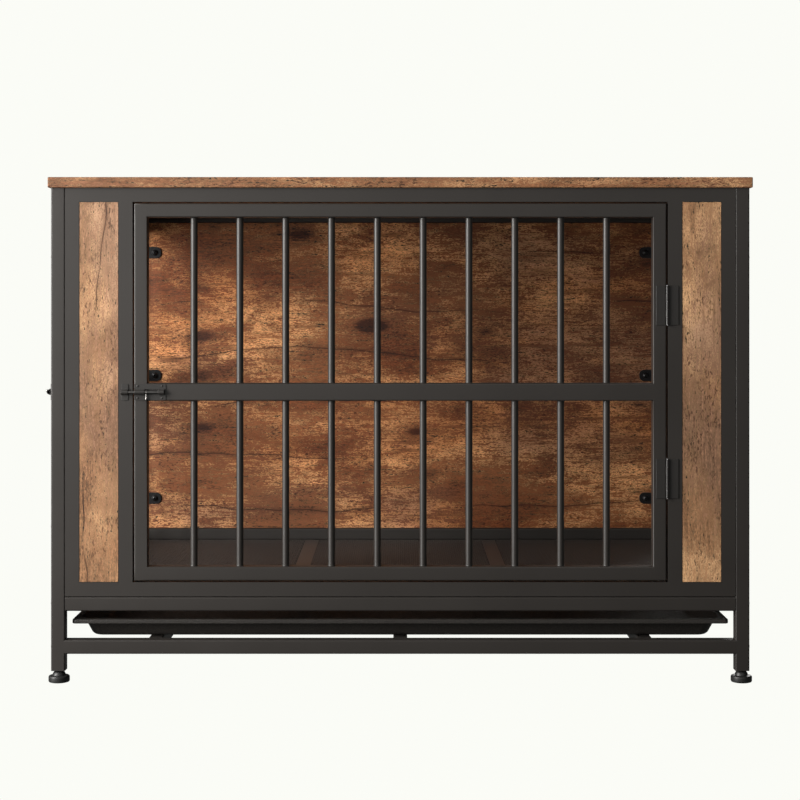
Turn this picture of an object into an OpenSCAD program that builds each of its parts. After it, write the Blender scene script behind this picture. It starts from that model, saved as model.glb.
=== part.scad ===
// Furniture-style dog crate. A board top sits on a bolted frame of square steel tube.
// The front has a barred door between two board strips, the left side is a barred door,
// the right side has fixed bars, and a board closes the back. The floor is a perforated
// sheet over a pull-out tray, and the posts stand on levelling feet.
// Millimetres. X runs to the right, -Y to the front, and Z up from the ground.

/* [Overall] */
// Width of the top board
top_w = 1000; // [900:10:1200]
// Depth of the top board
top_d = 640; // [560:10:760]
// Height of the top surface above the ground
total_h = 718; // [660:2:820]
// Thickness of the top board
board_t = 15; // [12:1:20]
// Overhang of the top board past the posts
overhang = 4; // [0:1:15]

/* [Frame] */
// Side of the square tube
tube = 20; // [20:1:24]
// Wall of the square tube
wall = 1.2; // [1:0.1:1.5]
// Height of the lower edge of the bottom rails
bottom_z = 41; // [36:1:46]
// Height of the lower edge of the base rails, which carry the floor
base_z = 102; // [98:1:112]
// Thickness of the perforated floor sheet
sheet_t = 1; // [0.8:0.1:1.2]
// Width of each board strip beside the front door
strip_w = 56; // [50:0.5:80]
// Thickness of the back panel
panel_t = 9; // [6:1:9]

/* [Doors] */
// Gap all round each door
gap = 2; // [1.5:0.1:3]
// Width of the stiles of the doors
door_stile = 19; // [19:0.5:24]
// Height of the middle rail of the doors
mid_h = 25; // [20:1:30]
// Diameter of the bars
bar_d = 10; // [6:0.5:12]
// Largest spacing of the bars, centre to centre
bar_pitch = 65.5; // [50:0.5:75]

/* [Tray] */
// Width of the rim of the tray
rim_w = 12; // [10:1:16]
// Wall of the tray
tray_wall = 2.2; // [1.8:0.1:2.6]

/* [Hidden] */
$fn = 48;

cut = 1;                                  // how far a cutter runs past a face
weld = 0.1;                               // joint line left at a welded seam
fit = 0.25;                               // clearance round boards in their frames

foot_h = 17;                              // ground to the lower end of the posts
out_x = top_w / 2 - overhang;             // outer face of the posts, to the sides
out_y = top_d / 2 - overhang;             // outer face of the posts, front and rear
in_x = out_x - tube;
in_y = out_y - tube;
post_x = out_x - tube / 2;
post_y = out_y - tube / 2;
frame_top = total_h - board_t;
sheet_z = base_z + tube;                  // underside of the floor sheet
panel_z0 = sheet_z + sheet_t;             // lower edge of the front and rear frames
win_z0 = panel_z0 + tube;                 // window in the front and rear frames
win_z1 = frame_top - tube;
stile_in = in_x - tube;                   // inner edge of the stiles
mullion_out = stile_in - strip_w;         // edge of the mullion against its strip
mullion_in = mullion_out - tube;
strip_x = stile_in - strip_w / 2;

front_w = 2 * (mullion_in - gap);         // front door
front_z0 = win_z0 + gap;
side_w = 2 * (in_y - gap);                // side door
side_z0 = sheet_z + gap;
door_z1 = win_z1 - gap;
mid_z = (front_z0 + door_z1) / 2;         // middle rails and latches, front and side

// heights where fixings repeat
panel_bolt_in = 98.5;                     // frame bolts from either end of a panel frame
bolt_zs = [bottom_z + tube / 2, base_z + tube / 2,
           panel_z0 + panel_bolt_in, frame_top - panel_bolt_in];
clip_in = 53;                             // clips from either end of a window
clip_zs = [win_z0 + clip_in, mid_z, win_z1 - clip_in];

// tabs and clips
tab_t = 2;
tab_h = 20;
tab_reach = 33.5;                         // clip tab, out from the stile
tab_bolt = 22;                            // its bolt, out from the stile
panel_in = 6;                             // back panel, in from the face of the rear frame
panel_y = in_y + panel_in;                // front face of the back panel
strip_in = 0.5;                           // strips, in from the face of the front frame
strip_t = tube - strip_in;
blind = 2;                                // board left beyond a blind hole
tip_gap = 1;                              // space beyond the tip of a screw or bolt
head_taper = 0.65;                        // narrow end of a head, as a share of the wide end

// frame bolts
bolt_d = 5;
bolt_hole = 5.3;
bolt_head_d = 10;
bolt_head_h = 1.5;
bolt_len = 36;
nut_len = 12;
plug_side = tube - 2 * wall - weld;       // blocks pressed into tube ends
plug_len = 15;

// wood screws
screw_d = 4;
screw_hole = 4.2;
screw_head_d = 7.6;
screw_head_h = 2;
top_screw_x = 0.3 * top_w;
top_tab_w = 36;
top_tab_d = 18;
top_screw_up = 10;

// butt hinges
hinge_h = 56;
hinge_in = 145;                           // hinge centres from either end of the front door
leaf_w = 16;
leaf_t = 1.2;
knuckle_r = 2.1;
pin_r = 1.22;
pin_bore_r = 1.3;
axis_out = 2;                             // hinge axis, proud of the door's outer face
axis_gap = 2.6;                           // half of the slot between the leaves
knuckles = 5;
knuckle_play = 0.15;

// barrel bolts, measured from the door's free edge
plate_l = 45;
plate_h = 23.5;
plate_t = 1;
plate_in = 0.5;
rod_r = 2.1;
rod_bore_r = 2.35;
rod_out = 3.3;                            // rod axis, proud of the door's outer face
loop_r = 3.6;                             // outside of the barrels and of the keeper's loop
rod_reach = 15;                           // rod past the door's free edge
rod_tail = 41;
barrel_a = [1.3, 16];                     // outer barrel
barrel_b = [35, 43.7];                    // inner barrel
keeper_x = [-17.8, -7.8];
collar = [16.4, 19.4];
collar_r = 3.1;
arm_len = 10;
tip_r = 1.8;
slot_h = 7.6;                             // window in the plate, where the collar slides
rivet_r = 1.6;
rivet_h = 0.9;
rivet_up = 8.6;
rivet_in = 4;                             // rivets, in from the outer ends of the barrels

// tray
tray_lift = 0.3;                          // space between the tray and its supports
tray_side = 8;                            // space between the tray and the side frames
tray_front = 10;                          // rim, forward of the inner face of the front frame
tray_h = 27.7;
tray_z0 = bottom_z + tube + tray_lift;
tray_z1 = tray_z0 + tray_h;
tray_w = 2 * (in_x - tray_side);
tray_d = 2 * in_y + tray_front;
lip_h = 6.5;
wall_lean = 24;                           // degrees that the walls lean out
tray_bend = 10;                           // radius where the walls turn into the floor
bend_turn = 90 - wall_lean;
tray_r = 10;                              // corners of the floor, seen from above

// levelling feet
pad_r = 15;
pad_h = 9.5;
pad_edge = 1.5;
neck_r = 9.4;
neck_top_r = 6.5;
stud_r = 4;
stud_bore = 4.08;
stud_z0 = 6;
stud_z1 = 46;
neck_gap = 0.2;                           // between the foot's neck and the post

function bar_count(w) = ceil(w / bar_pitch) - 1;

/* ---------- shared shapes ---------- */

// A square-cornered tube from corner lo to corner hi, open along one axis (0, 1 or 2)
module tube_run(lo, hi, along) {
    bore = [for (i = [0:2]) i == along ? -cut : wall];
    difference() {
        translate(lo) cube(hi - lo);
        translate(lo + bore) cube(hi - lo - 2 * bore);
    }
}

module block(lo, hi) {
    translate(lo) cube(hi - lo);
}

module rod_x(x0, x1, y, z, r) {
    translate([x0, y, z]) rotate([0, 90, 0]) cylinder(r = r, h = x1 - x0);
}

module rod_y(x, y0, y1, z, r) {
    translate([x, y0, z]) rotate([-90, 0, 0]) cylinder(r = r, h = y1 - y0);
}

// Holes through the posts, and on into the stiles and end nuts, for the frame bolts
module bolt_holes() {
    deep = out_x - bolt_len;
    for (y = [-post_y, post_y], z = bolt_zs) {
        rod_x(deep, out_x + cut, y, z, bolt_hole / 2);
        rod_x(-out_x - cut, -deep, y, z, bolt_hole / 2);
    }
}

// Doors are drawn with their outer face at y = 0, hinges to +x and latch to -x.
module on_front() {
    translate([0, -out_y, 0]) children();
}

// The side door is the same arrangement turned: its hinges are at the rear.
module on_left() {
    translate([-out_x, 0, 0]) rotate([0, 0, -90]) mirror([1, 0, 0]) children();
}

/* ---------- top ---------- */

module top_screw_places() {
    for (x = [-top_screw_x, top_screw_x], s = [-1, 1])
        translate([x, s * (in_y - top_tab_d / 2), 0]) children();
    for (s = [-1, 1]) translate([s * (in_x - top_tab_d / 2), 0, 0]) children();
}

module top_board() {
    color("sienna") difference() {
        block([-top_w / 2, -top_d / 2, frame_top], [top_w / 2, top_d / 2, total_h]);
        top_screw_places() translate([0, 0, frame_top - cut])
            cylinder(d = screw_hole, h = top_screw_up + cut);
    }
}

module top_tab(w, d) {
    difference() {
        translate([-w / 2, -d / 2, frame_top - tab_t]) cube([w, d, tab_t]);
        translate([0, 0, frame_top - tab_t - cut]) cylinder(d = screw_hole, h = tab_t + 2 * cut);
    }
}

module top_board_tabs() {
    seam = weld / 2;
    color("dimgray") {
        for (x = [-top_screw_x, top_screw_x], s = [-1, 1])
            translate([x, s * (in_y - top_tab_d / 2 - seam), 0])
                top_tab(top_tab_w, top_tab_d - weld);
        for (s = [-1, 1])
            translate([s * (in_x - top_tab_d / 2 - seam), 0, 0])
                top_tab(top_tab_d - weld, top_tab_w);
    }
}

module top_board_screws() {
    color("silver") top_screw_places() {
        translate([0, 0, frame_top - tab_t - screw_head_h])
            cylinder(d1 = screw_head_d * head_taper, d2 = screw_head_d, h = screw_head_h);
        translate([0, 0, frame_top - tab_t - screw_head_h])
            cylinder(d = screw_d, h = tab_t + screw_head_h + top_screw_up - tip_gap);
    }
}

/* ---------- side frames ---------- */

module post(s, y) {
    difference() {
        tube_run([post_x * s - tube / 2, y - tube / 2, foot_h],
                 [post_x * s + tube / 2, y + tube / 2, frame_top], 2);
        bolt_holes();
    }
}

// A rail from the front post to the rear post on side s
module side_rail(s, z0, h) {
    tube_run([post_x * s - tube / 2, -in_y + weld, z0],
             [post_x * s + tube / 2, in_y - weld, z0 + h], 1);
}

module side_frame(s) {
    post(s, -post_y);
    post(s, post_y);
    side_rail(s, base_z, tube);
    side_rail(s, win_z1, tube);
}

module left_side_frame() {
    color("darkslategray") side_frame(-1);
}

module right_side_frame() {
    color("darkslategray") {
        side_frame(1);
        side_rail(1, mid_z - mid_h / 2, mid_h);
    }
}

// Bars between z0 and z1 across a window of width w, in two runs that meet the middle rail
module bar_rows(w, z0, z1, y) {
    n = bar_count(w);
    for (i = [1:n], run = [[z0, mid_z - mid_h / 2], [mid_z + mid_h / 2, z1]])
        translate([-w / 2 + i * w / (n + 1), y, run[0] + weld])
            cylinder(d = bar_d, h = run[1] - run[0] - 2 * weld);
}

module right_side_bars() {
    color("darkslategray") translate([post_x, 0, 0]) rotate([0, 0, 90])
        bar_rows(2 * in_y, sheet_z, win_z1, 0);
}

/* ---------- front and rear frames ---------- */

module stile(s, y) {
    difference() {
        tube_run([(in_x - tube / 2) * s - tube / 2 + weld / 2, y, panel_z0],
                 [(in_x - tube / 2) * s + tube / 2 - weld / 2, y + tube, frame_top], 2);
        bolt_holes();
    }
}

module cross_rail(y, z0) {
    tube_run([-stile_in, y, z0], [stile_in, y + tube, z0 + tube], 0);
}

module mullion(s) {
    mid = (mullion_in + mullion_out) / 2 * s;
    tube_run([mid - tube / 2, -out_y, win_z0 + weld],
             [mid + tube / 2, -in_y, win_z1 - weld], 2);
}

module front_frame() {
    color("darkslategray") {
        for (s = [-1, 1]) {
            stile(s, -out_y);
            mullion(s);
        }
        for (z = [panel_z0, win_z1]) cross_rail(-out_y, z);
    }
}

module rear_frame() {
    color("darkslategray") {
        for (s = [-1, 1]) stile(s, in_y);
        for (z = [panel_z0, win_z1]) cross_rail(in_y, z);
    }
}

/* ---------- rails that bolt between the posts ---------- */

module long_rail(y, z0) {
    color("darkslategray") tube_run([-in_x, y, z0], [in_x, y + tube, z0 + tube], 0);
}

module front_base_rail() { long_rail(-out_y, base_z); }

module rear_base_rail() { long_rail(in_y, base_z); }

module front_bottom_rail() { long_rail(-out_y, bottom_z); }

module rear_bottom_rail() { long_rail(in_y, bottom_z); }

module rail_end_nuts() {
    color("silver") difference() {
        for (s = [-1, 1], y = [-post_y, post_y], z = [bolt_zs[0], bolt_zs[1]])
            translate([s * (in_x - nut_len / 2), y, z])
                cube([nut_len, plug_side, plug_side], center = true);
        bolt_holes();
    }
}

// A tube from the front rail to the rear rail, centred on x
module depth_bar(x, z0) {
    tube_run([x - tube / 2, -in_y + weld, z0], [x + tube / 2, in_y - weld, z0 + tube], 1);
}

cross_bar_x = 0.155 * top_w;
support_x = 0.35 * top_w;

module floor_cross_bars() {
    color("darkslategray") for (s = [-1, 1]) depth_bar(s * cross_bar_x, base_z);
}

module tray_supports() {
    color("darkslategray") for (s = [-1, 0, 1]) depth_bar(s * support_x, bottom_z);
}

module floor_sheet() {
    edge = 8;                             // sheet clamped under the front and rear frames
    color("dimgray") block([-in_x + gap, -out_y + edge, sheet_z],
                           [in_x - gap, out_y - edge, sheet_z + sheet_t]);
}

/* ---------- back panel and strips ---------- */

module back_panel() {
    x = stile_in - fit;
    color("sienna") difference() {
        block([-x, panel_y, win_z0 + fit], [x, panel_y + panel_t, win_z1 - fit]);
        for (s = [-1, 1], z = clip_zs)
            rod_y(s * (stile_in - tab_bolt), panel_y - cut, panel_y + panel_t - blind, z,
                  bolt_hole / 2);
    }
}

module back_panel_tabs() {
    color("dimgray") for (s = [-1, 1], z = clip_zs) difference() {
        x = s * (stile_in - weld - tab_reach / 2);
        translate([x, panel_y - tab_t / 2, z])
            cube([tab_reach - weld, tab_t, tab_h], center = true);
        rod_y(s * (stile_in - tab_bolt), panel_y - tab_t - cut, panel_y + cut, z,
              bolt_hole / 2);
    }
}

module back_panel_bolts() {
    head_r = 5.5;
    head_h = 4;
    color("black") for (s = [-1, 1], z = clip_zs) {
        x = s * (stile_in - tab_bolt);
        rod_y(x, panel_y - tab_t - head_h, panel_y - tab_t, z, head_r);
        rod_y(x, panel_y - tab_t - cut, panel_y + panel_t - blind - tip_gap, z, bolt_d / 2);
    }
}

module strip(s) {
    w = strip_w - 2 * fit;
    color("peru") difference() {
        translate([s * strip_x - w / 2, -in_y - strip_t, win_z0 + fit])
            cube([w, strip_t, win_z1 - win_z0 - 2 * fit]);
        for (z = clip_zs)
            rod_y(s * strip_x, -in_y - strip_t + blind, -in_y + cut, z, screw_hole / 2);
    }
}

module left_strip() { strip(-1); }

module right_strip() { strip(1); }

module strip_straps() {
    strap_w = strip_w + tube;
    color("dimgray") for (s = [-1, 1], z = clip_zs) difference() {
        translate([s * strip_x, -in_y + tab_t / 2, z])
            cube([strap_w, tab_t, tab_h], center = true);
        rod_y(s * strip_x, -in_y - cut, -in_y + tab_t + cut, z, screw_hole / 2);
    }
}

module strip_screws() {
    color("silver") for (s = [-1, 1], z = clip_zs) {
        rod_y(s * strip_x, -in_y - strip_t + blind + tip_gap, -in_y + tab_t + cut, z,
              screw_d / 2);
        translate([s * strip_x, -in_y + tab_t, z]) rotate([-90, 0, 0])
            cylinder(d1 = screw_head_d, d2 = screw_head_d * head_taper, h = screw_head_h);
    }
}

/* ---------- frame bolts and feet ---------- */

module frame_bolts(s) {
    color("black") for (y = [-post_y, post_y], z = bolt_zs)
        translate([s * out_x, y, z]) rotate([0, s * 90, 0]) {
            cylinder(d1 = bolt_head_d, d2 = bolt_head_d * head_taper, h = bolt_head_h);
            translate([0, 0, -bolt_len]) cylinder(d = bolt_d, h = bolt_len + bolt_head_h / 2);
        }
}

module left_frame_bolts() { frame_bolts(-1); }

module right_frame_bolts() { frame_bolts(1); }

module foot_plugs() {
    color("black") for (x = [-post_x, post_x], y = [-post_y, post_y])
        translate([x, y, foot_h]) difference() {
            translate([-plug_side / 2, -plug_side / 2, 0]) cube([plug_side, plug_side, plug_len]);
            translate([0, 0, -cut]) cylinder(r = stud_bore, h = plug_len + 2 * cut);
        }
}

module foot(x, y) {
    color("black") translate([x, y, 0]) difference() {
        union() {
            cylinder(r1 = pad_r - pad_edge, r2 = pad_r, h = pad_edge);
            translate([0, 0, pad_edge]) cylinder(r = pad_r, h = pad_h - 2 * pad_edge);
            translate([0, 0, pad_h - pad_edge])
                cylinder(r1 = pad_r, r2 = pad_r - pad_edge, h = pad_edge);
            translate([0, 0, pad_h])
                cylinder(r1 = neck_r, r2 = neck_top_r, h = foot_h - neck_gap - pad_h);
        }
        translate([0, 0, stud_z0]) cylinder(r = stud_bore, h = foot_h);
    }
}

module stud(x, y) {
    color("silver") translate([x, y, stud_z0]) cylinder(r = stud_r, h = stud_z1 - stud_z0);
}

module front_left_foot() { foot(-post_x, -post_y); }

module front_right_foot() { foot(post_x, -post_y); }

module rear_left_foot() { foot(-post_x, post_y); }

module rear_right_foot() { foot(post_x, post_y); }

module front_left_stud() { stud(-post_x, -post_y); }

module front_right_stud() { stud(post_x, -post_y); }

module rear_left_stud() { stud(-post_x, post_y); }

module rear_right_stud() { stud(post_x, post_y); }

/* ---------- hinges ---------- */

hinge_zs_front = [front_z0 + hinge_in, door_z1 - hinge_in];
hinge_zs_side = [side_z0 + hinge_in, door_z1 - hinge_in];

// One leaf of a hinge centred at z = 0, reaching to side s of the axis at x = 0.
// The post's leaf holds the odd knuckles and the door's leaf the even ones.
module leaf(s, first) {
    pitch = hinge_h / knuckles;
    x_near = s > 0 ? axis_gap : -leaf_w;
    difference() {
        union() {
            translate([x_near, -leaf_t, -hinge_h / 2])
                cube([leaf_w - axis_gap, leaf_t, hinge_h]);
            for (i = [first:2:knuckles - 1]) translate([0, 0, i * pitch - hinge_h / 2]) {
                translate([0, -axis_out, knuckle_play / 2])
                    cylinder(r = knuckle_r, h = pitch - knuckle_play);
                translate([s > 0 ? 0 : -axis_gap - cut, -leaf_t, knuckle_play / 2])
                    cube([axis_gap + cut, leaf_t, pitch - knuckle_play]);
            }
        }
        translate([0, -axis_out, -hinge_h]) cylinder(r = pin_bore_r, h = 2 * hinge_h);
    }
}

module hinge_set(w, zs, s, first) {
    color("black") for (z = zs) translate([w / 2 + gap / 2, 0, z]) leaf(s, first);
}

module pin_set(w, zs) {
    head_r = 1.9;
    head_h = 0.8;
    color("silver") for (z = zs) translate([w / 2 + gap / 2, -axis_out, z]) {
        cylinder(r = pin_r, h = hinge_h + 2 * knuckle_play, center = true);
        for (s = [-1, 1])
            translate([0, 0, s * (hinge_h / 2 + knuckle_play + head_h / 2)])
                cylinder(r = head_r, h = head_h, center = true);
    }
}

module front_hinge_post_leaves() { on_front() hinge_set(front_w, hinge_zs_front, 1, 0); }

module front_hinge_door_leaves() { on_front() hinge_set(front_w, hinge_zs_front, -1, 1); }

module front_hinge_pins() { on_front() pin_set(front_w, hinge_zs_front); }

module side_hinge_post_leaves() { on_left() hinge_set(side_w, hinge_zs_side, 1, 0); }

module side_hinge_door_leaves() { on_left() hinge_set(side_w, hinge_zs_side, -1, 1); }

module side_hinge_pins() { on_left() pin_set(side_w, hinge_zs_side); }

/* ---------- latches ---------- */

// A raised loop over the rod from x0 to x1 past the door's free edge
module rod_loop(x0, x1) {
    rod_x(x0, x1, -rod_out, 0, loop_r);
    block([x0, -rod_out, -loop_r], [x1, -plate_t / 2, loop_r]);
}

module rod_bore() {
    rod_x(-rod_tail, 2 * rod_tail, -rod_out, 0, rod_bore_r);
}

module rivet_places(xs) {
    for (x = xs, s = [-1, 1]) translate([x, 0, s * rivet_up]) children();
}

module latch_plate() {
    slot = [barrel_a[1] + weld, barrel_b[0] - weld];
    color("black") difference() {
        union() {
            block([plate_in, -plate_t, -plate_h / 2], [plate_in + plate_l, 0, plate_h / 2]);
            rod_loop(barrel_a[0], barrel_a[1]);
            rod_loop(barrel_b[0], barrel_b[1]);
        }
        rod_bore();
        block([slot[0], -loop_r, -slot_h / 2], [slot[1], cut, slot_h / 2]);
        block([-cut, 0, -plate_h], [2 * plate_l, plate_h, plate_h]);
    }
}

module latch_rivets() {
    color("dimgray") rivet_places([barrel_a[0] + rivet_in, barrel_b[1] - rivet_in])
        translate([0, -plate_t - rivet_h, 0]) rotate([-90, 0, 0])
            cylinder(r1 = rivet_r * head_taper, r2 = rivet_r, h = rivet_h);
}

module keeper() {
    color("black") difference() {
        union() {
            block([keeper_x[0], -plate_t, -plate_h / 2], [keeper_x[1], 0, plate_h / 2]);
            rod_loop(keeper_x[0], keeper_x[1]);
        }
        rod_bore();
        block([keeper_x[0] - cut, 0, -plate_h], [cut, plate_h, plate_h]);
    }
}

module bolt_rod() {
    color("dimgray") rod_x(-rod_reach, rod_tail, -rod_out, 0, rod_r);
}

// turn is how far the arm has swung up from hanging
module bolt_handle(turn) {
    mid = (collar[0] + collar[1]) / 2;
    arm_w = 2.4;
    color("black") difference() {
        union() {
            rod_x(collar[0], collar[1], -rod_out, 0, collar_r);
            translate([mid, -rod_out, 0]) rotate([-turn, 0, 0]) {
                translate([-arm_w / 2, -arm_w / 2, -arm_len]) cube([arm_w, arm_w, arm_len]);
                translate([0, 0, -arm_len]) sphere(r = tip_r);
            }
        }
        rod_bore();
    }
}

module at_edge(w) { translate([-w / 2, 0, mid_z]) children(); }

module front_latch_plate() { on_front() at_edge(front_w) latch_plate(); }

module front_latch_rivets() { on_front() at_edge(front_w) latch_rivets(); }

module front_keeper() { on_front() at_edge(front_w) keeper(); }

module front_bolt_rod() { on_front() at_edge(front_w) bolt_rod(); }

module front_bolt_handle() { on_front() at_edge(front_w) bolt_handle(0); }

module side_latch_plate() { on_left() at_edge(side_w) latch_plate(); }

module side_latch_rivets() { on_left() at_edge(side_w) latch_rivets(); }

module side_keeper() { on_left() at_edge(side_w) keeper(); }

module side_bolt_rod() { on_left() at_edge(side_w) bolt_rod(); }

module side_bolt_handle() { on_left() at_edge(side_w) bolt_handle(90); }

/* ---------- doors ---------- */

module door_frame(w, z0) {
    color("darkslategray") {
        for (s = [-1, 1]) {
            mid = s * (w / 2 - door_stile / 2);
            tube_run([mid - door_stile / 2, 0, z0], [mid + door_stile / 2, tube, door_z1], 2);
        }
        rail = w / 2 - door_stile - weld;
        for (r = [[z0, tube], [mid_z - mid_h / 2, mid_h], [door_z1 - tube, tube]])
            tube_run([-rail, 0, r[0]], [rail, tube, r[0] + r[1]], 0);
    }
}

module front_door_frame() { on_front() door_frame(front_w, front_z0); }

module front_door_bars() {
    color("darkslategray") on_front()
        bar_rows(front_w - 2 * door_stile, front_z0 + tube, door_z1 - tube, tube / 2);
}

module side_door_frame() { on_left() door_frame(side_w, side_z0); }

module side_door_bars() {
    color("darkslategray") on_left()
        bar_rows(side_w - 2 * door_stile, side_z0 + tube, door_z1 - tube, tube / 2);
}

/* ---------- tray ---------- */

module round_plate(w, d, r, h) {
    linear_extrude(h) {
        square([w - 2 * r, d], center = true);
        square([w, d - 2 * r], center = true);
        for (x = [-1, 1], y = [-1, 1])
            translate([x * (w / 2 - r), y * (d / 2 - r)]) circle(r = r, $fn = 32);
    }
}

// How far the outside of the wall stands out from the tray's flat floor, at the rim
wall_out = tray_bend * sin(bend_turn)
           + (tray_h - tray_bend * (1 - cos(bend_turn))) * tan(wall_lean);

// A level slice of the basin at height z, standing out from the flat floor by out
module slice(z, out) {
    grown = 2 * (out - wall_out - rim_w);
    translate([0, 0, z]) round_plate(tray_w + grown, tray_d + grown, tray_r + out, 0.01);
}

// The basin as a solid block up to z1, or its hollow where t is the wall's thickness
module basin(t, z1) {
    r = tray_bend - t;
    bend_z = tray_z0 + tray_bend - r * cos(bend_turn);
    hull() {
        for (a = [0:bend_turn / 5:bend_turn])
            slice(tray_z0 + tray_bend - r * cos(a), r * sin(a));
        slice(z1, r * sin(bend_turn) + (z1 - bend_z) * tan(wall_lean));
    }
}

module tray() {
    rim_r = 6;
    color("black") translate([0, -tray_front / 2, 0]) difference() {
        union() {
            basin(0, tray_z1 - tray_wall / 2);
            translate([0, 0, tray_z1 - lip_h]) difference() {
                round_plate(tray_w, tray_d, rim_r, lip_h);
                translate([0, 0, -cut])
                    round_plate(tray_w - 2 * tray_wall, tray_d - 2 * tray_wall,
                                rim_r - tray_wall, lip_h - tray_wall + cut);
            }
        }
        basin(tray_wall, tray_z1 + tray_wall);
    }
}

/* ---------- assembly ---------- */

top_board();
top_board_tabs();
top_board_screws();
left_side_frame();
right_side_frame();
right_side_bars();
front_frame();
rear_frame();
front_base_rail();
rear_base_rail();
front_bottom_rail();
rear_bottom_rail();
rail_end_nuts();
floor_cross_bars();
floor_sheet();
tray_supports();
back_panel();
back_panel_tabs();
back_panel_bolts();
left_strip();
right_strip();
strip_straps();
strip_screws();
left_frame_bolts();
right_frame_bolts();
foot_plugs();
front_hinge_post_leaves();
front_hinge_pins();
front_keeper();
side_hinge_post_leaves();
side_hinge_pins();
side_keeper();
front_door_frame();
front_door_bars();
front_hinge_door_leaves();
front_latch_plate();
front_latch_rivets();
front_bolt_rod();
front_bolt_handle();
side_door_frame();
side_door_bars();
side_hinge_door_leaves();
side_latch_plate();
side_latch_rivets();
side_bolt_rod();
side_bolt_handle();
tray();
front_left_foot();
front_right_foot();
rear_left_foot();
rear_right_foot();
front_left_stud();
front_right_stud();
rear_left_stud();
rear_right_stud();
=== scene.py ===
# %% [markdown]
# # A furniture-style dog crate
# The crate is a frame of square steel tube with a board on top, a board at the back and two
# narrow boards beside the front door. The doors and the right side have round bars.
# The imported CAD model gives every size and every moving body. This lesson puts a finished
# surface on each part: it rebuilds most of them with rounded edges and fine detail, and lets
# each new piece ride on the body of the part that it stands for.

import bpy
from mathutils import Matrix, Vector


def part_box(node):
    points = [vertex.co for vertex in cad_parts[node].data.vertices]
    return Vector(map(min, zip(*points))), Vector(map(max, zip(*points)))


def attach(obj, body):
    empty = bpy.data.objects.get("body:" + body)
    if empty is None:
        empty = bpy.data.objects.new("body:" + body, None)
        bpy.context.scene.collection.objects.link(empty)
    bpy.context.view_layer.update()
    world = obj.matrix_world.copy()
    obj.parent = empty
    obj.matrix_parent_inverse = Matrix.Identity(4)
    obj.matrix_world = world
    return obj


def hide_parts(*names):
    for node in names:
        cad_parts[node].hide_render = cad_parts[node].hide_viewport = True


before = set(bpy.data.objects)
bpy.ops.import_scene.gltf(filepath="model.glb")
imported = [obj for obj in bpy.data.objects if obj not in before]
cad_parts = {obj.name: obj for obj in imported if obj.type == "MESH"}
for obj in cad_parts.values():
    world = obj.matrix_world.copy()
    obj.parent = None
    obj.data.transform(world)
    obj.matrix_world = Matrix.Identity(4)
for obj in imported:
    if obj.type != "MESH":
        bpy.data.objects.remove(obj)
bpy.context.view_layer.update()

# %% [markdown]
# The rest of the tools: bmesh makes the shapes, and mathutils places them. Drawings of metal
# parts are in millimetres, so the shapes here are drawn in millimetres too, and scaled to
# metres once, when a piece is finished.

# %% Tools and units
import math

import bmesh
import bpy
from mathutils import Matrix, Vector

MM = 0.001
TURN = 2 * math.pi


def box_mm(node):
    """The lowest and highest corner of a CAD node, in millimetres."""
    low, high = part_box(node)
    return low / MM, high / MM


top_low, top_high = box_mm("top_board")
print("top board:", tuple(round(s, 1) for s in top_high - top_low), "mm")

# %% [markdown]
# ## Shader helpers
# A finish is a small tree of nodes. Building one from a script takes many lines unless a few
# helpers do the wiring, so each helper below adds one kind of node and hands back its output.
# A value that is itself another node's output gets linked; a plain number is typed in.

# %% Node helpers
def add(tree, kind, values=None, **settings):
    """Add one shader node, and link or fill in its inputs."""
    node = tree.nodes.new("ShaderNode" + kind)
    for key, value in settings.items():
        setattr(node, key, value)
    for name, value in (values or {}).items():
        if isinstance(value, bpy.types.NodeSocket):
            tree.links.new(value, node.inputs[name])
        else:
            node.inputs[name].default_value = value
    return node


def calc(tree, operation, a, b=0.0, c=0.0):
    return add(tree, "Math", {0: a, 1: b, 2: c}, operation=operation).outputs[0]


def fade(tree, value, low, high):
    """0 below low, 1 above high, and a smooth step between. Low may be the larger."""
    return add(tree, "MapRange", {"Value": value, "From Min": low, "From Max": high},
               interpolation_type="SMOOTHSTEP").outputs[0]


def stretch(tree, vector, scale, shift=(0, 0, 0)):
    return add(tree, "Mapping", {"Vector": vector, "Location": shift, "Scale": scale}).outputs[0]


def cloud(tree, vector, detail=2.0, rough=0.5, warp=0.0):
    return add(tree, "TexNoise", {"Vector": vector, "Scale": 1.0, "Detail": detail,
                                  "Roughness": rough, "Distortion": warp}).outputs[0]


def paint(tree, factor, under, over, mode="MIX"):
    """Lay one colour over another where factor is high."""
    node = add(tree, "Mix", {0: factor, 6: under, 7: over}, data_type="RGBA", blend_type=mode)
    return node.outputs[2]


# %% [markdown]
# An effect that several finishes share is a node group, made once. Its inputs are the knobs
# that differ from one finish to the next, and it puts out colours, roughness and heights only,
# so that the shader itself stays in each material.

# %% Group and finish helpers
def effect(name, inputs, outputs):
    """An empty shader node group with named sockets, and its input and output nodes."""
    group = bpy.data.node_groups.new(name, "ShaderNodeTree")
    for socket, kind, value in inputs:
        made = group.interface.new_socket(socket, in_out="INPUT", socket_type="NodeSocket" + kind)
        if value is not None:
            made.default_value = value
    for socket, kind in outputs:
        group.interface.new_socket(socket, in_out="OUTPUT", socket_type="NodeSocket" + kind)
    return group, group.nodes.new("NodeGroupInput").outputs, group.nodes.new("NodeGroupOutput")


def send(group, out, **sockets):
    for name, value in sockets.items():
        group.links.new(value, out.inputs[name])


def finish(name, metallic=0.0, specular=0.5):
    """A new material with its shader, and its Object coordinates."""
    material = bpy.data.materials.new(name)
    material.use_nodes = True
    tree = material.node_tree
    shader = tree.nodes["Principled BSDF"]
    shader.inputs["Metallic"].default_value = metallic
    shader.inputs["Specular IOR Level"].default_value = specular
    return material, tree, shader, add(tree, "TexCoord").outputs["Object"]


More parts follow.
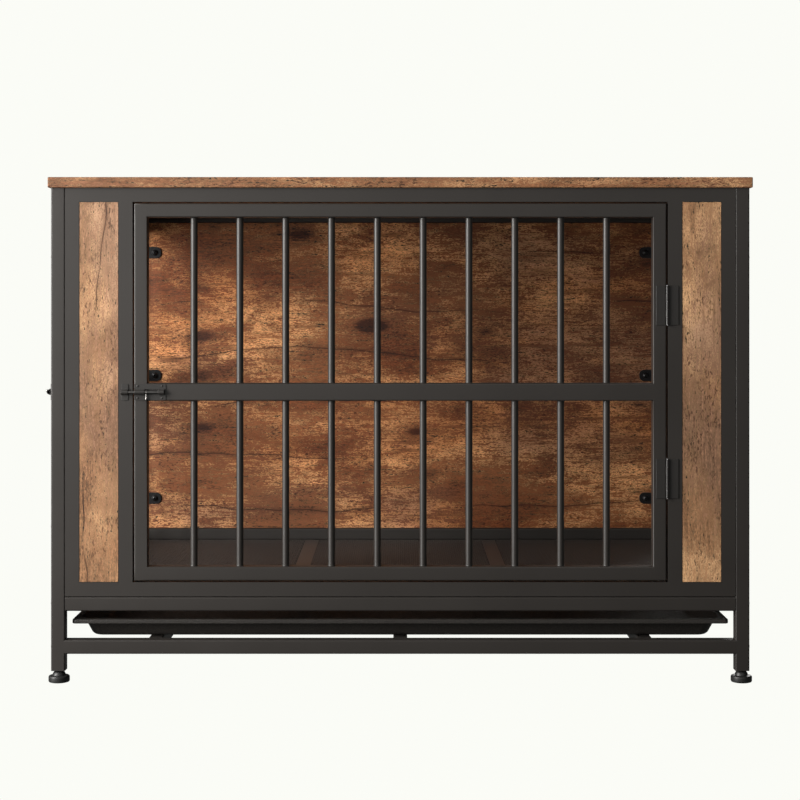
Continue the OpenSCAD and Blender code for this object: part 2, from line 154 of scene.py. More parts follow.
def surface(tree, shader, group, values, relief, spread):
    """Feed a shader from an effect group: colour, roughness, and its height as bump."""
    node = add(tree, "Group", values, node_tree=group)
    bump = add(tree, "Bump", {"Height": node.outputs["Height"], "Strength": relief,
                              "Distance": spread})
    tree.links.new(node.outputs["Color"], shader.inputs["Base Color"])
    tree.links.new(node.outputs["Roughness"], shader.inputs["Roughness"])
    tree.links.new(bump.outputs[0], shader.inputs["Normal"])


# %% [markdown]
# ## Rustic board
# The boards are chipboard under a printed wood-grain foil: orange-brown timber with dark knots,
# smoky stains, thin cracks and short dark flecks, all drawn out along the grain. An image would
# be the usual way. Here noise that is stretched along the grain gives every layer instead, so
# the pattern never repeats, has no seams at the edges, and needs no file.
# The pattern is solid, as in real timber: it runs through the board along its X axis. Fibres
# come first, since their ups and downs also fray the rims of all the layers above them.

# %% Rustic board: fibres and tone
board, given, board_out = effect(
    "Rustic board",
    [("Vector", "Vector", None), ("Pale", "Color", (0.5, 0.28, 0.14, 1)),
     ("Warm", "Color", (0.3, 0.13, 0.05, 1)), ("Ash", "Color", (0.2, 0.12, 0.08, 1)),
     ("Dark", "Color", (0.13, 0.07, 0.05, 1)), ("Stains", "Float", 1.0),
     ("Contrast", "Float", 2.8)],
    [("Color", "Color"), ("Roughness", "Float"), ("Height", "Float")])
along = given["Vector"]
fibre = cloud(board, stretch(board, along, (26, 330, 330)), 3, 0.7)
weave = cloud(board, stretch(board, along, (210, 560, 560), (0.2, 0.5, 0.1)), 2, 0.65)
tone = cloud(board, stretch(board, along, (2.6, 7.5, 7.5), (0.7, 0.9, 0.2)), 5, 0.62, 0.3)
lift = calc(board, "SUBTRACT", calc(board, "ADD", fibre, weave), 1.0)
print("fibres and tone:", len(board.nodes), "nodes")

# %% [markdown]
# Stains soak into the print in patches of several sizes. Each patch is a noise that is cut off
# at a level. The fibres are added before the cut, so its rim breaks up into streaks and dots,
# as ink does when it runs along the grain.

# %% Rustic board: stains and washes
def blotch(scale, shift, detail, rough, low, high, ragged):
    """Patches of a noise, with rims that the fibres have frayed."""
    shape = cloud(board, stretch(board, along, scale, shift), detail, rough, 0.2)
    return fade(board, calc(board, "MULTIPLY_ADD", lift, ragged, shape), low, high)


def strongest(*layers):
    """The highest of several layers, each given with its strength."""
    top = 0.0
    for layer, strength in layers:
        top = calc(board, "MAXIMUM", top, calc(board, "MULTIPLY", layer, strength))
    return top


stain = blotch((8, 18, 18), (0.15, 0.3, 0.27), 8, 0.7, 0.475, 0.55, 0.7)
cloudy = blotch((4.2, 9, 9), (0.9, 0.5, 0.1), 7, 0.68, 0.445, 0.525, 0.8)
wash = blotch((2.2, 6, 6), (0.35, 0.8, 0.55), 5, 0.6, 0.46, 0.60, 0.4)
streaks = blotch((7, 75, 75), (0.6, 0.1, 0.4), 4, 0.6, 0.52, 0.62, 0.5)
patches = blotch((15, 30, 30), (0.6, 0.1, 0.9), 4, 0.65, 0.49, 0.60, 0.3)
print("stains:", len(board.nodes), "nodes")

# %% [markdown]
# Knots are the cells of a Voronoi texture: the distance to a cell's middle gives the dark heart,
# a soft halo and rings. Each cell's random number makes its knot larger, smaller, or none.
# Flecks are short dashes in patches. Cracks are hairlines: folding the height on the board with
# a ping-pong gives evenly spaced lines, and noise bends them and breaks them into lengths.

# %% Rustic board: knots, flecks and cracks
cells = add(board, "TexVoronoi", {
    "Vector": stretch(board, along, (6, 14, 14), (0.31, 0.17, 0.43)), "Scale": 1.0})
luck = add(board, "SeparateColor", {0: cells.outputs["Color"]}).outputs[0]
reach = calc(board, "ADD", calc(board, "MULTIPLY_ADD", lift, 0.12, cells.outputs["Distance"]),
             calc(board, "MULTIPLY", luck, 0.16))
knot = fade(board, reach, 0.24, 0.14)
halo = fade(board, reach, 0.50, 0.18)
ring_wave = calc(board, "SINE", calc(board, "MULTIPLY", reach, 125.0))
rings = calc(board, "MULTIPLY", halo, fade(board, ring_wave, 0.0, 0.9))
specks = cloud(board, stretch(board, along, (150, 430, 430), (0.3, 0.3, 0.3)), 2, 0.5)
flecks = calc(board, "MULTIPLY", fade(board, specks, 0.54, 0.64), patches)
split = add(board, "SeparateXYZ", {0: along}).outputs
bend = cloud(board, stretch(board, along, (1.6, 2.0, 2.0), (0.55, 0.2, 0.7)), 4, 0.55)
lane = calc(board, "MULTIPLY_ADD", calc(board, "ADD", split[1], split[2]), 11.0,
            calc(board, "MULTIPLY", bend, 1.6))
line = calc(board, "PINGPONG", lane, 0.5)
lengths = cloud(board, stretch(board, along, (3.6, 14, 14), (0.8, 0.4, 0.3)), 2, 0.5)
crack = calc(board, "MULTIPLY", fade(board, line, 0.016, 0.004),
             fade(board, lengths, 0.49, 0.53))
smudge = calc(board, "MULTIPLY", fade(board, line, 0.08, 0.0), fade(board, lengths, 0.48, 0.58))
print("knots, flecks and cracks:", len(board.nodes), "nodes")

# %% [markdown]
# Last, the layers are laid over each other as a printer would: the two tones of the timber, the
# grey wash, the grain as lighter and darker lines, and the dark marks on top. Dark layers
# multiply the colour under them, so the grain still shows inside a stain.

# %% Rustic board: put the layers together
tinted = paint(board, fade(board, tone, 0.38, 0.62), given["Warm"], given["Pale"])
tinted = paint(board, calc(board, "MULTIPLY", wash, 0.7), tinted, given["Ash"])
grain = calc(board, "MULTIPLY_ADD", lift, given["Contrast"], 1.0)
tinted = add(board, "VectorMath", {0: tinted, "Scale": grain}, operation="SCALE").outputs[0]
soaked = calc(board, "MULTIPLY", given["Stains"],
              strongest((stain, 0.95), (cloudy, 0.9), (streaks, 0.72), (halo, 0.5)))
marks = strongest((flecks, 0.8), (crack, 0.92), (knot, 0.96), (smudge, 0.4), (rings, 0.6))
for layer in (soaked, marks):
    tinted = paint(board, layer, tinted, given["Dark"], "MULTIPLY")
send(board, board_out, Color=tinted, Roughness=calc(board, "MULTIPLY_ADD", fibre, 0.2, 0.42),
     Height=calc(board, "SUBTRACT", calc(board, "MULTIPLY", lift, 0.6), marks))
print("rustic board:", len(board.nodes), "nodes")

# %% [markdown]
# The back and the top have their grain from side to side, and the narrow boards have it upright,
# so their pattern is turned a quarter turn about Y by a Mapping node. The narrow boards stand in
# the light, and their colours are a paler, greyer copy of the back board's: painted light on the
# same foil.

# %% Board finishes
def board_finish(name, turn, shift, colours, stains, contrast):
    """A board's foil. Shift moves the pattern, so that no two boards show the same part."""
    material, tree, shader, place = finish(name, specular=0.35)
    turned_place = add(tree, "Mapping", {"Vector": place, "Rotation": (0, turn, 0),
                                         "Location": shift}).outputs[0]
    values = dict(zip(("Pale", "Warm", "Ash", "Dark"), [(*c, 1) for c in colours]))
    surface(tree, shader, board, {"Vector": turned_place, "Stains": stains,
                                  "Contrast": contrast, **values}, 0.25, 0.4 * MM)
    return material


BACK_COLOURS = [(0.90, 0.445, 0.185), (0.62, 0.250, 0.086), (0.40, 0.200, 0.112),
                (0.15, 0.082, 0.056)]
# The narrow boards' colours: a paler, greyer copy of the back board's, painted light.
STRIP_COLOURS_PAINTED_LIT = [(0.66, 0.385, 0.195), (0.47, 0.250, 0.122), (0.37, 0.220, 0.145),
                 (0.20, 0.140, 0.110)]
TOP_COLOURS = [(0.80, 0.445, 0.215), (0.50, 0.255, 0.120), (0.37, 0.215, 0.140),
               (0.17, 0.105, 0.080)]
back_board = board_finish("Back board", 0.0, (0.0, 0.0, 0.0), BACK_COLOURS, 1.0, 3.8)
top_finish = board_finish("Top board", 0.0, (0.2, 0.1, 0.4), TOP_COLOURS, 0.9, 3.8)
strip_board = board_finish("Upright board, painted lit", TURN / 4, (0.1, 0.6, 0.3), STRIP_COLOURS_PAINTED_LIT, 0.75, 3.4)
print("board finishes:", back_board.name, top_finish.name, strip_board.name)

# %% [markdown]
# ## Powder coat and the other metals
# Powder coat is paint that was melted on, so it flows into a very fine orange peel and has a
# satin sheen with no brush marks. Two sizes of noise give the peel, and a third one clouds the
# colour a little so that long tubes don't look like plastic rods.

# %% Sprayed coat
coat_group, given, coat_out = effect(
    "Sprayed coat",
    [("Vector", "Vector", None), ("Tint", "Color", (0.02, 0.02, 0.02, 1)),
     ("Grain", "Float", 1.0), ("Sheen", "Float", 0.5)],
    [("Color", "Color"), ("Roughness", "Float"), ("Height", "Float")])
grown = add(coat_group, "VectorMath", {0: given["Vector"], "Scale": given["Grain"]},
            operation="SCALE").outputs[0]
peel = cloud(coat_group, stretch(coat_group, grown, (420, 420, 420)), 1, 0.4)
sand = cloud(coat_group, stretch(coat_group, grown, (1500, 1500, 1500)), 1, 0.5)
cast = cloud(coat_group, stretch(coat_group, given["Vector"], (9, 9, 9)), 3, 0.6)
cast_shade = calc(coat_group, "MULTIPLY_ADD", cast, 0.18, 0.91)
speckle = calc(coat_group, "MULTIPLY_ADD", sand, 0.24,
               calc(coat_group, "SUBTRACT", cast_shade, 0.12))
shaded = add(coat_group, "VectorMath", {0: given["Tint"], "Scale": speckle},
             operation="SCALE").outputs[0]
send(coat_group, coat_out, Color=shaded,
     Roughness=calc(coat_group, "MULTIPLY_ADD", cast, 0.08, given["Sheen"]),
     Height=calc(coat_group, "MULTIPLY_ADD", peel, 0.7, calc(coat_group, "MULTIPLY", sand, 0.3)))


def coated(name, tint, grain, sheen, relief, spread):
    """A sprayed finish. Sheen is its roughness, and relief and spread set the orange peel."""
    material, tree, shader, place = finish(name)
    surface(tree, shader, coat_group, {"Vector": place, "Tint": (*tint, 1), "Grain": grain,
                                       "Sheen": sheen}, relief, spread)
    return material


powder_coat = coated("Charcoal powder coat", (0.0215, 0.0182, 0.0158), 1.0, 0.40, 0.25,
                     0.12 * MM)
hardware_coat = coated("Hardware coat", (0.019, 0.0172, 0.0158), 1.4, 0.36, 0.2, 0.1 * MM)
black_fixings = coated("Black fixings", (0.0085, 0.0085, 0.009), 2.0, 0.30, 0.15, 0.06 * MM)
# The floor sheet's colour is lighter than the frame's coat: painted light, for the light that its
# top faces catch.
sheet_coat_painted_lit = coated("Floor sheet coat, painted lit", (0.062, 0.052, 0.046), 1.0, 0.42, 0.3, 0.12 * MM)
# Hole walls: a near-black copy of the sheet's colour, painted shade in the holes.
hole_walls_painted_shade = coated("Hole walls, painted shade", (0.006, 0.005, 0.0045), 1.0, 0.5, 0.2, 0.1 * MM)
foot_rubber = coated("Foot rubber", (0.012, 0.012, 0.0115), 0.8, 0.42, 0.35, 0.15 * MM)
print("coats:", len(coat_group.nodes), "nodes in the group")

# %% [markdown]
# The tray is vacuum-formed plastic sheet with a leathery, pebbled face. Rounded cells from a
# Voronoi texture are the pebbles, and their tops are a little shinier than the valleys.

# %% Pebbled plastic
pebble, given, pebble_out = effect(
    "Pebbled plastic",
    [("Vector", "Vector", None), ("Tint", "Color", (0.01, 0.01, 0.01, 1)),
     ("Cells", "Float", 620.0)],
    [("Color", "Color"), ("Roughness", "Float"), ("Height", "Float")])
pebbles = add(pebble, "TexVoronoi", {"Vector": given["Vector"], "Scale": given["Cells"],
                                     "Smoothness": 0.6}, feature="SMOOTH_F1").outputs["Distance"]
crown = fade(pebble, pebbles, 0.75, 0.1)
scuff = cloud(pebble, stretch(pebble, given["Vector"], (14, 14, 14)), 4, 0.65)
pebble_shade = calc(pebble, "MULTIPLY_ADD", crown, 0.5,
                    calc(pebble, "MULTIPLY_ADD", scuff, 0.4, 0.55))
pebble_tint = add(pebble, "VectorMath", {0: given["Tint"], "Scale": pebble_shade},
                  operation="SCALE").outputs[0]
send(pebble, pebble_out, Color=pebble_tint, Height=crown,
     Roughness=calc(pebble, "MULTIPLY_ADD", crown, -0.14, 0.58))

tray_plastic, tree, shader, place = finish("Pebbled tray plastic", specular=0.4)
surface(tree, shader, pebble, {"Vector": place, "Tint": (0.021, 0.018, 0.0155, 1),
                               "Cells": 520.0}, 0.55, 0.35 * MM)

# %% [markdown]
# The rods, pins and screws are plated steel. Drawing and rolling leave scratches along the
# length, which blur the reflection one way only; stretched noise in roughness and bump gives
# that without any anisotropy setting, which the export would lose.

# %% Plated steel
plated, given, plated_out = effect(
    "Plated steel",
    [("Vector", "Vector", None), ("Tint", "Color", (0.5, 0.5, 0.5, 1)),
     ("Draw", "Vector", (40.0, 1200.0, 1200.0)), ("Polish", "Float", 0.3)],
    [("Color", "Color"), ("Roughness", "Float"), ("Height", "Float")])
drawn = add(plated, "VectorMath", {0: given["Vector"], 1: given["Draw"]},
            operation="MULTIPLY").outputs[0]
scratch = cloud(plated, drawn, 3, 0.6)
haze = cloud(plated, stretch(plated, given["Vector"], (60, 60, 60)), 3, 0.6)
plated_shade = calc(plated, "MULTIPLY_ADD", haze, 0.3,
                    calc(plated, "MULTIPLY_ADD", scratch, 0.3, 0.7))
plated_tint = add(plated, "VectorMath", {0: given["Tint"], "Scale": plated_shade},
                  operation="SCALE").outputs[0]
send(plated, plated_out, Color=plated_tint, Height=scratch,
     Roughness=calc(plated, "MULTIPLY_ADD", scratch, 0.22, given["Polish"]))


def steel(name, tint, draw, polish):
    """Plated steel. Draw is how fine its scratches are along each axis."""
    material, tree, shader, place = finish(name, metallic=1.0)
    surface(tree, shader, plated, {"Vector": place, "Tint": (*tint, 1), "Draw": draw,
                                   "Polish": polish}, 0.2, 0.05 * MM)
    return material


zinc = steel("Zinc plate", (0.52, 0.52, 0.54), (1200, 1200, 40), 0.28)
rod_front_steel = steel("Rod steel, front", (0.16, 0.155, 0.15), (40, 1200, 1200), 0.22)
rod_side_steel = steel("Rod steel, side", (0.16, 0.155, 0.15), (1200, 40, 1200), 0.22)
tip_steel = steel("Handle steel", (0.26, 0.25, 0.24), (300, 300, 300), 0.24)
print("materials:", len(bpy.data.materials))

# %% [markdown]
# ## Shapes
# Almost every part is one of three things: a block or tube with its edges rounded, a turned
# part, or a flat frame with windows in it. Each gets one helper, which starts from the simplest
# bmesh shape and lets an operator do the rest. Real edges are never sharp, and it is the
# rounded edge that catches the light, so everything gets a bevel.

# %% Blocks and tubes
STEPS = 3                  # facets across a rounded edge
TUBE = 20.0                # side of the square tube
TUBE_EDGE = 2.0            # outside radius of its corners
WALL = 1.2                 # its wall
PLATE_EDGE = 0.4           # edges of thin plates
AXES = {"X": Vector((1, 0, 0)), "Y": Vector((0, 1, 0)), "Z": Vector((0, 0, 1))}


def runs_along(edge, axis):
    way = edge.verts[1].co - edge.verts[0].co
    return abs(way.normalized().dot(AXES[axis])) > 0.99


def round_off(bm, edges, radius, steps=STEPS):
    """Bevel edges to a radius. Every rounded edge in this lesson comes from here."""
    return bmesh.ops.bevel(bm, geom=edges, offset=radius, offset_type="OFFSET", segments=steps,
                           profile=0.5, affect="EDGES", material=-1, clamp_overlap=True)


def block(bm, low, high, radius, only=None):
    """A box with its edges rounded: all of them, or only those along one axis."""
    low, high = Vector(low), Vector(high)
    size = Matrix.Diagonal((*(high - low), 1))
    made = bmesh.ops.create_cube(bm, size=1, matrix=Matrix.Translation((low + high) / 2) @ size)
    edges = {e for v in made["verts"] for e in v.link_edges}
    round_off(bm, [e for e in edges if only is None or runs_along(e, only)], radius)


def plate(bm, low, high, thin, corner, free=None):
    """A thin plate with rounded corners: all four, or those at its free end, (axis, sign)."""
    before = set(bm.edges)
    low, high = Vector(low), Vector(high)
    middle, size = (low + high) / 2, Matrix.Diagonal((*(high - low), 1))
    bmesh.ops.create_cube(bm, size=1, matrix=Matrix.Translation(middle) @ size)
    posts = [e for e in bm.edges if e not in before and runs_along(e, thin)]
    if free:
        posts = [e for e in posts
                 if (e.verts[0].co - middle).dot(AXES[free[0]]) * free[1] > 0]
    round_off(bm, posts, corner, 6)
    outline = [e for e in bm.edges if e not in before and e.calc_face_angle(0) > 1
               and not runs_along(e, thin)]
    round_off(bm, outline, PLATE_EDGE, 2)


def tube(bm, low, high, way):
    """A straight length of square tube. Its ends are cut square, so only long edges round."""
    block(bm, low, high, TUBE_EDGE, only=way)


# %% [markdown]
# A turned part is a half profile spun about an axis: bars, pins, bolts and feet. The profile is
# a short list of (radius, height) pairs, the same as a drawing for a lathe. Points on the axis
# are spun into as many copies, so they are merged afterwards to close the pole.

# %% Turned parts
def turned(bm, profile, place=Matrix.Identity(4), steps=24, ring=False):
    """Spin a half profile about Z and put it in place. A ring's profile closes on itself."""
    line = [bm.verts.new((radius, 0, height)) for radius, height in profile]
    pairs = list(zip(line, line[1:])) + ([(line[-1], line[0])] if ring else [])
    edges = [bm.edges.new(pair) for pair in pairs]
    before = set(bm.verts) - set(line)
    bmesh.ops.spin(bm, geom=line + edges, cent=(0, 0, 0), axis=(0, 0, 1), angle=TURN,
                   steps=steps, use_merge=True)
    made = [v for v in bm.verts if v not in before]
    bmesh.ops.remove_doubles(bm, verts=made, dist=0.001)
    made = [v for v in bm.verts if v not in before]
    bmesh.ops.transform(bm, matrix=place, verts=made)
    return made


def stand_at(x, y, z, axis="Z", flip=False):
    """The matrix that lays a turned part's Z along another axis, at a point."""
    lay = {"Z": Matrix.Identity(4), "X": Matrix.Rotation(TURN / 4, 4, "Y"),
           "Y": Matrix.Rotation(-TURN / 4, 4, "X")}[axis]
    turn_over = Matrix.Rotation(TURN / 2, 4, "X") if flip else Matrix.Identity(4)
    return Matrix.Translation((x, y, z)) @ lay @ turn_over


# %% [markdown]
# A welded frame could be separate tubes pushed together, but their rounded corners would leave
# a notch at each joint, and a real welded frame is ground flush. So the frame starts as one flat
# rectangle. Planes cut it, the windows are deleted, the rest is pulled out to the depth of the
# tube, and then the outlines are rounded in one go, round every window and every corner.

# %% Frames with windows
def window_plate(across, up, depth, windows, radius, corner=0.0, open_ends=False):
    """A plate in the XZ plane with windows (x0, x1, z0, z1), and with rounded outlines.

    Open ends stay square at the top and the bottom, as on a post that was sawn off.
    """
    bm = bmesh.new()
    middle = Vector((sum(across) / 2, depth[0], sum(up) / 2))
    size = Matrix.Diagonal((across[1] - across[0], 1, up[1] - up[0], 1))
    upright = Matrix.Rotation(TURN / 4, 4, "X")
    bmesh.ops.create_grid(bm, x_segments=1, y_segments=1, size=0.5,
                          matrix=Matrix.Translation(middle) @ size @ upright)
    cuts = {(x, "X") for w in windows for x in w[:2]} | {(z, "Z") for w in windows for z in w[2:]}
    for at, axis in sorted(cuts):
        bmesh.ops.bisect_plane(bm, geom=bm.verts[:] + bm.edges[:] + bm.faces[:],
                               plane_co=AXES[axis] * at, plane_no=AXES[axis])
    inside = [f for f in bm.faces for c in [f.calc_center_median()]
              if any(x0 < c.x < x1 and z0 < c.z < z1 for x0, x1, z0, z1 in windows)]
    bmesh.ops.delete(bm, geom=inside, context="FACES")
    pulled = bmesh.ops.extrude_face_region(bm, geom=bm.faces[:])["geom"]
    bmesh.ops.translate(bm, verts=[g for g in pulled if isinstance(g, bmesh.types.BMVert)],
                        vec=(0, depth[1] - depth[0], 0))
    bmesh.ops.recalc_face_normals(bm, faces=bm.faces)
    if corner:
        posts = [e for e in bm.edges if runs_along(e, "Y")
                 and all(abs(v.co.x - middle.x) > (across[1] - across[0]) / 2 - 0.01
                         and abs(v.co.z - middle.z) > (up[1] - up[0]) / 2 - 0.01 for v in e.verts)]
        round_off(bm, posts, corner, 6)
    outlines = [e for e in bm.edges if e.calc_face_angle(0) > 1 and not runs_along(e, "Y")]
    if open_ends:
        outlines = [e for e in outlines if runs_along(e, "Z") or
                    not any(all(abs(v.co.z - end) < 0.01 for v in e.verts) for end in up)]
    round_off(bm, outlines, radius)
    return bm


def around(node, gap):
    """The window that a node sits in, with a gap all round."""
    low, high = box_mm(node)
    return low.x - gap, high.x + gap, low.z - gap, high.z + gap


# %% [markdown]
# Every shape ends the same way. Its normals are made to face out, it is scaled to metres, and
# faces are shaded smooth except where two of them meet at a clear angle. A Weighted Normal
# modifier then keeps the large flat faces flat, so that only the rounded edge turns the light.

# %% Finish a piece
SHARP = math.radians(42)
pieces_made = []


def piece(name, bm, body, material, stands_for, place=Matrix.Identity(4)):
    """Turn a drawing in millimetres into a finished piece that rides on a body."""
    bmesh.ops.transform(bm, matrix=Matrix.Scale(MM, 4) @ place, verts=bm.verts)
    bmesh.ops.recalc_face_normals(bm, faces=bm.faces)
    for face in bm.faces:
        face.smooth = True
    for edge in bm.edges:
        edge.smooth = edge.calc_face_angle(0) < SHARP
    mesh = bpy.data.meshes.new(name)
    bm.to_mesh(mesh)
    bm.free()
    mesh.materials.append(material)
    made = bpy.data.objects.new(name, mesh)
    bpy.context.scene.collection.objects.link(made)
    weighted = made.modifiers.new("Flat faces stay flat", "WEIGHTED_NORMAL")
    weighted.keep_sharp = True
    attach(made, body)
    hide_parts(*stands_for)
    pieces_made.append(made)
    print(f"{name}: {len(mesh.polygons)} faces, on {body}")
    return made


# %% [markdown]
# ## Welded frames
# The front frame holds the two narrow boards and leaves the opening for the door. The rear frame
# is the same tube with one large window, which the back board fills.

# %% Front and rear frame
FIT = 0.25                 # room round a board in its frame
DOOR_GAP = 2.0             # room round a door
low, high = box_mm("front_frame")
bm = window_plate((low.x, high.x), (low.z, high.z), (low.y, high.y),
                  [around("left_strip", FIT), around("front_door_frame", DOOR_GAP),
                   around("right_strip", FIT)], TUBE_EDGE)
piece("front_frame_tubes", bm, "crate", powder_coat, ["front_frame"])

low, high = box_mm("rear_frame")
bm = window_plate((low.x, high.x), (low.z, high.z), (low.y, high.y),
                  [around("back_panel", FIT)], TUBE_EDGE)
piece("rear_frame_tubes", bm, "crate", powder_coat, ["rear_frame"])

# %% [markdown]
# Each side frame is two posts joined by rails, so it is a ladder seen from the side. It is drawn
# flat like the others and then X and Y change places. The lowest window is open at the bottom,
# which leaves the posts standing. Each post's lower end is a real tube end: an inset face is
# pushed up, and the plug that takes the foot shows inside it.

# %% Side frames
SWAP_XY = Matrix(((0, 1, 0, 0), (1, 0, 0, 0), (0, 0, 1, 0), (0, 0, 0, 1)))
PLUG_DEPTH = 16.0
door_low, door_high = box_mm("front_door_frame")
mid_z = (door_low.z + door_high.z) / 2
MID_RAIL = 25.0
floor_rail = box_mm("front_base_rail")
ground_rail = box_mm("front_bottom_rail")


def side_ladder(node, with_middle):
    """A side frame as a drawing, with or without the middle rail that carries fixed bars."""
    low, high = box_mm(node)
    inner = (low.y + TUBE, high.y - TUBE)
    rungs = [floor_rail[0].z, floor_rail[1].z]
    if with_middle:
        rungs += [mid_z - MID_RAIL / 2, mid_z + MID_RAIL / 2]
    rungs = [low.z - 1, *rungs, high.z - TUBE]
    windows = [(*inner, z0, z1) for z0, z1 in zip(rungs[::2], rungs[1::2])]
    bm = window_plate((low.y, high.y), (low.z, high.z), (low.x, high.x), windows, TUBE_EDGE,
                      open_ends=True)
    ends = [f for f in bm.faces if abs(f.normal.z) > 0.9
            and abs(f.calc_center_median().z - low.z) < 0.1]
    bmesh.ops.inset_individual(bm, faces=ends, thickness=WALL)
    bores = bmesh.ops.extrude_discrete_faces(bm, faces=ends)["faces"]
    bmesh.ops.translate(bm, verts=list({v for f in bores for v in f.verts}),
                        vec=(0, 0, PLUG_DEPTH))
    return bm


for side in ("left", "right"):
    node = side + "_side_frame"
    piece(node + "_tubes", side_ladder(node, side == "right"), "crate",
          powder_coat, [node], SWAP_XY)

# %% [markdown]
# The long rails bolt in between the posts. The two base rails meet the posts square. The bottom
# rails reach into the posts by the radius of the posts' rounded corners, so no groove shows.
# The tubes that carry the floor and the tray run from front to rear, under both.

# %% Rails and cross bars
for node, saddle in (("front_base_rail", 0), ("rear_base_rail", 0),
                     ("front_bottom_rail", TUBE_EDGE), ("rear_bottom_rail", TUBE_EDGE)):
    low, high = box_mm(node)
    bm = bmesh.new()
    reach = Vector((saddle, 0, 0))
    tube(bm, low - reach, high + reach, "X")
    piece(node + "_tube", bm, "crate", powder_coat, [node])

for node, count in (("floor_cross_bars", 2), ("tray_supports", 3)):
    low, high = box_mm(node)
    bm = bmesh.new()
    for i in range(count):
        left = low.x + i * (high.x - low.x - TUBE) / (count - 1)
        tube(bm, (left, low.y, low.z), (left + TUBE, high.y, high.z), "Y")
    piece(node + "_tubes", bm, "crate", powder_coat, [node])

# %% [markdown]
# ## Bars
# A bar is 10 mm round rod, welded into the rails at both ends. Each is turned with a small flare
# at the ends, which is the fillet that the weld leaves.

# %% Bars
BAR = 5.0                  # radius
BAR_PITCH = 65.5           # widest spacing allowed
WELD = 0.9                 # how far a weld fillet stands out


def bar(bm, x, y, z0, z1):
    """One upright bar, with the fillet of its weld at each end."""
    foot = [(0, 0), (BAR + WELD, 0), (BAR + WELD * 0.35, WELD * 0.4), (BAR, WELD * 1.4)]
    head = [(r, z1 - z0 - h) for r, h in reversed(foot)]
    turned(bm, foot + head, stand_at(x, y, z0), steps=28)


def bar_rows(width, z0, z1, y):
    """Two runs of evenly spaced bars that meet the middle rail."""
    bm = bmesh.new()
    count = math.ceil(width / BAR_PITCH) - 1
    for i in range(1, count + 1):
        for run in ((z0, mid_z - MID_RAIL / 2), (mid_z + MID_RAIL / 2, z1)):
            bar(bm, -width / 2 + i * width / (count + 1), y, *run)
    return bm


low, high = box_mm("right_side_frame")
bars = bar_rows(high.y - low.y - 2 * TUBE, floor_rail[1].z, high.z - TUBE, (low.x + high.x) / 2)
piece("right_side_round_bars", bars, "crate", powder_coat, ["right_side_bars"],
      SWAP_XY)

# %% [markdown]
# ## Doors
# The front and the side door are made the same way, so each part of a door is drawn once, in a
# drawing of its own: the outer face at Y 0, hinges towards +X and the latch towards -X. A matrix
# puts the drawing on the front, or turns it onto the left side.

# %% Where the doors stand
front_face = box_mm("front_frame")[0].y
left_face = box_mm("left_side_frame")[0].x
side_low, side_high = box_mm("side_door_frame")
DOORWAYS = [
    {"name": "front", "place": Matrix.Translation((0, front_face, 0)),
     "width": door_high.x - door_low.x, "foot": door_low.z, "head": door_high.z,
     "rod": rod_front_steel, "arm_up": 0.0},
    {"name": "side", "place": Matrix.Translation((left_face, 0, 0)) @ SWAP_XY,
     "width": side_high.y - side_low.y, "foot": side_low.z, "head": side_high.z,
     "rod": rod_side_steel, "arm_up": TURN / 4},
]
for way in DOORWAYS:
    print(way["name"], "door:", round(way["width"], 1), "mm wide,",
          round(way["head"] - way["foot"], 1), "mm tall")

# %% [markdown]
# A door's frame has two panes, above and below the middle rail, and its stiles are a little
# narrower than its rails. The bars stand in the middle of the tube's depth.

# %% Door frames and bars
STILE = 19.0               # width of a door's stiles
for way in DOORWAYS:
    half = way["width"] / 2
    inner = (STILE - half, half - STILE)
    panes = [(*inner, way["foot"] + TUBE, mid_z - MID_RAIL / 2),
             (*inner, mid_z + MID_RAIL / 2, way["head"] - TUBE)]
    bm = window_plate((-half, half), (way["foot"], way["head"]), (0, TUBE), panes, TUBE_EDGE)
    node = way["name"] + "_door_frame"
    piece(node + "_tubes", bm, way["name"] + "_door", powder_coat, [node],
          way["place"])
    bm = bar_rows(way["width"] - 2 * STILE, way["foot"] + TUBE, way["head"] - TUBE, TUBE / 2)
    node = way["name"] + "_door_bars"
    piece(way["name"] + "_door_round_bars", bm, way["name"] + "_door", powder_coat,
          [node], way["place"])

# %% [markdown]
# ## Butt hinges
# Each hinge is two leaves of thin plate whose edges are rolled into knuckles round one pin. The
# knuckles take turns: three belong to the crate's leaf and two to the door's. Each knuckle is a
# turned ring, and a short web ties it to its leaf. The pin is turned too, with a domed head at
# each end, and shows in the bore when the door swings.

# %% Hinges
HINGE = 56.0               # height
HINGE_IN = 145.0           # hinge centres from either end of the door
KNUCKLES = 5
AXIS_OUT = 2.0             # the pin's axis, out from the door's face
WEB = 2.6                  # half of the slot between the leaves
LEAF = (16.0, 1.2)         # a leaf's reach and thickness
KNUCKLE_PLAY = 0.15


def hinge_leaf(bm, axis_x, centre, side, first):
    """A leaf on one side of the pin, with every second knuckle, starting at first."""
    near, far = sorted((side * WEB, side * LEAF[0]))
    block(bm, (axis_x + near, -LEAF[1], centre - HINGE / 2),
          (axis_x + far, 0, centre + HINGE / 2), 0.45)
    pitch = HINGE / KNUCKLES
    for i in range(first, KNUCKLES, 2):
        foot = centre - HINGE / 2 + i * pitch + KNUCKLE_PLAY / 2
        tall = pitch - KNUCKLE_PLAY
        ring = [(1.3, 0), (1.85, 0), (2.1, 0.25), (2.1, tall - 0.25), (1.85, tall), (1.3, tall)]
        turned(bm, ring, stand_at(axis_x, -AXIS_OUT, foot), ring=True)
        near, far = sorted((side * 1.35, side * (WEB + 1)))
        block(bm, (axis_x + near, -LEAF[1], foot), (axis_x + far, -0.1, foot + tall), 0.2)


def hinge_pin(bm, axis_x, centre):
    end = HINGE / 2 + KNUCKLE_PLAY
    cap = [(0, end + 0.8), (1.1, end + 0.7), (1.7, end + 0.4), (1.9, end), (1.22, end)]
    turned(bm, cap + [(r, -h) for r, h in reversed(cap)], stand_at(axis_x, -AXIS_OUT, centre))


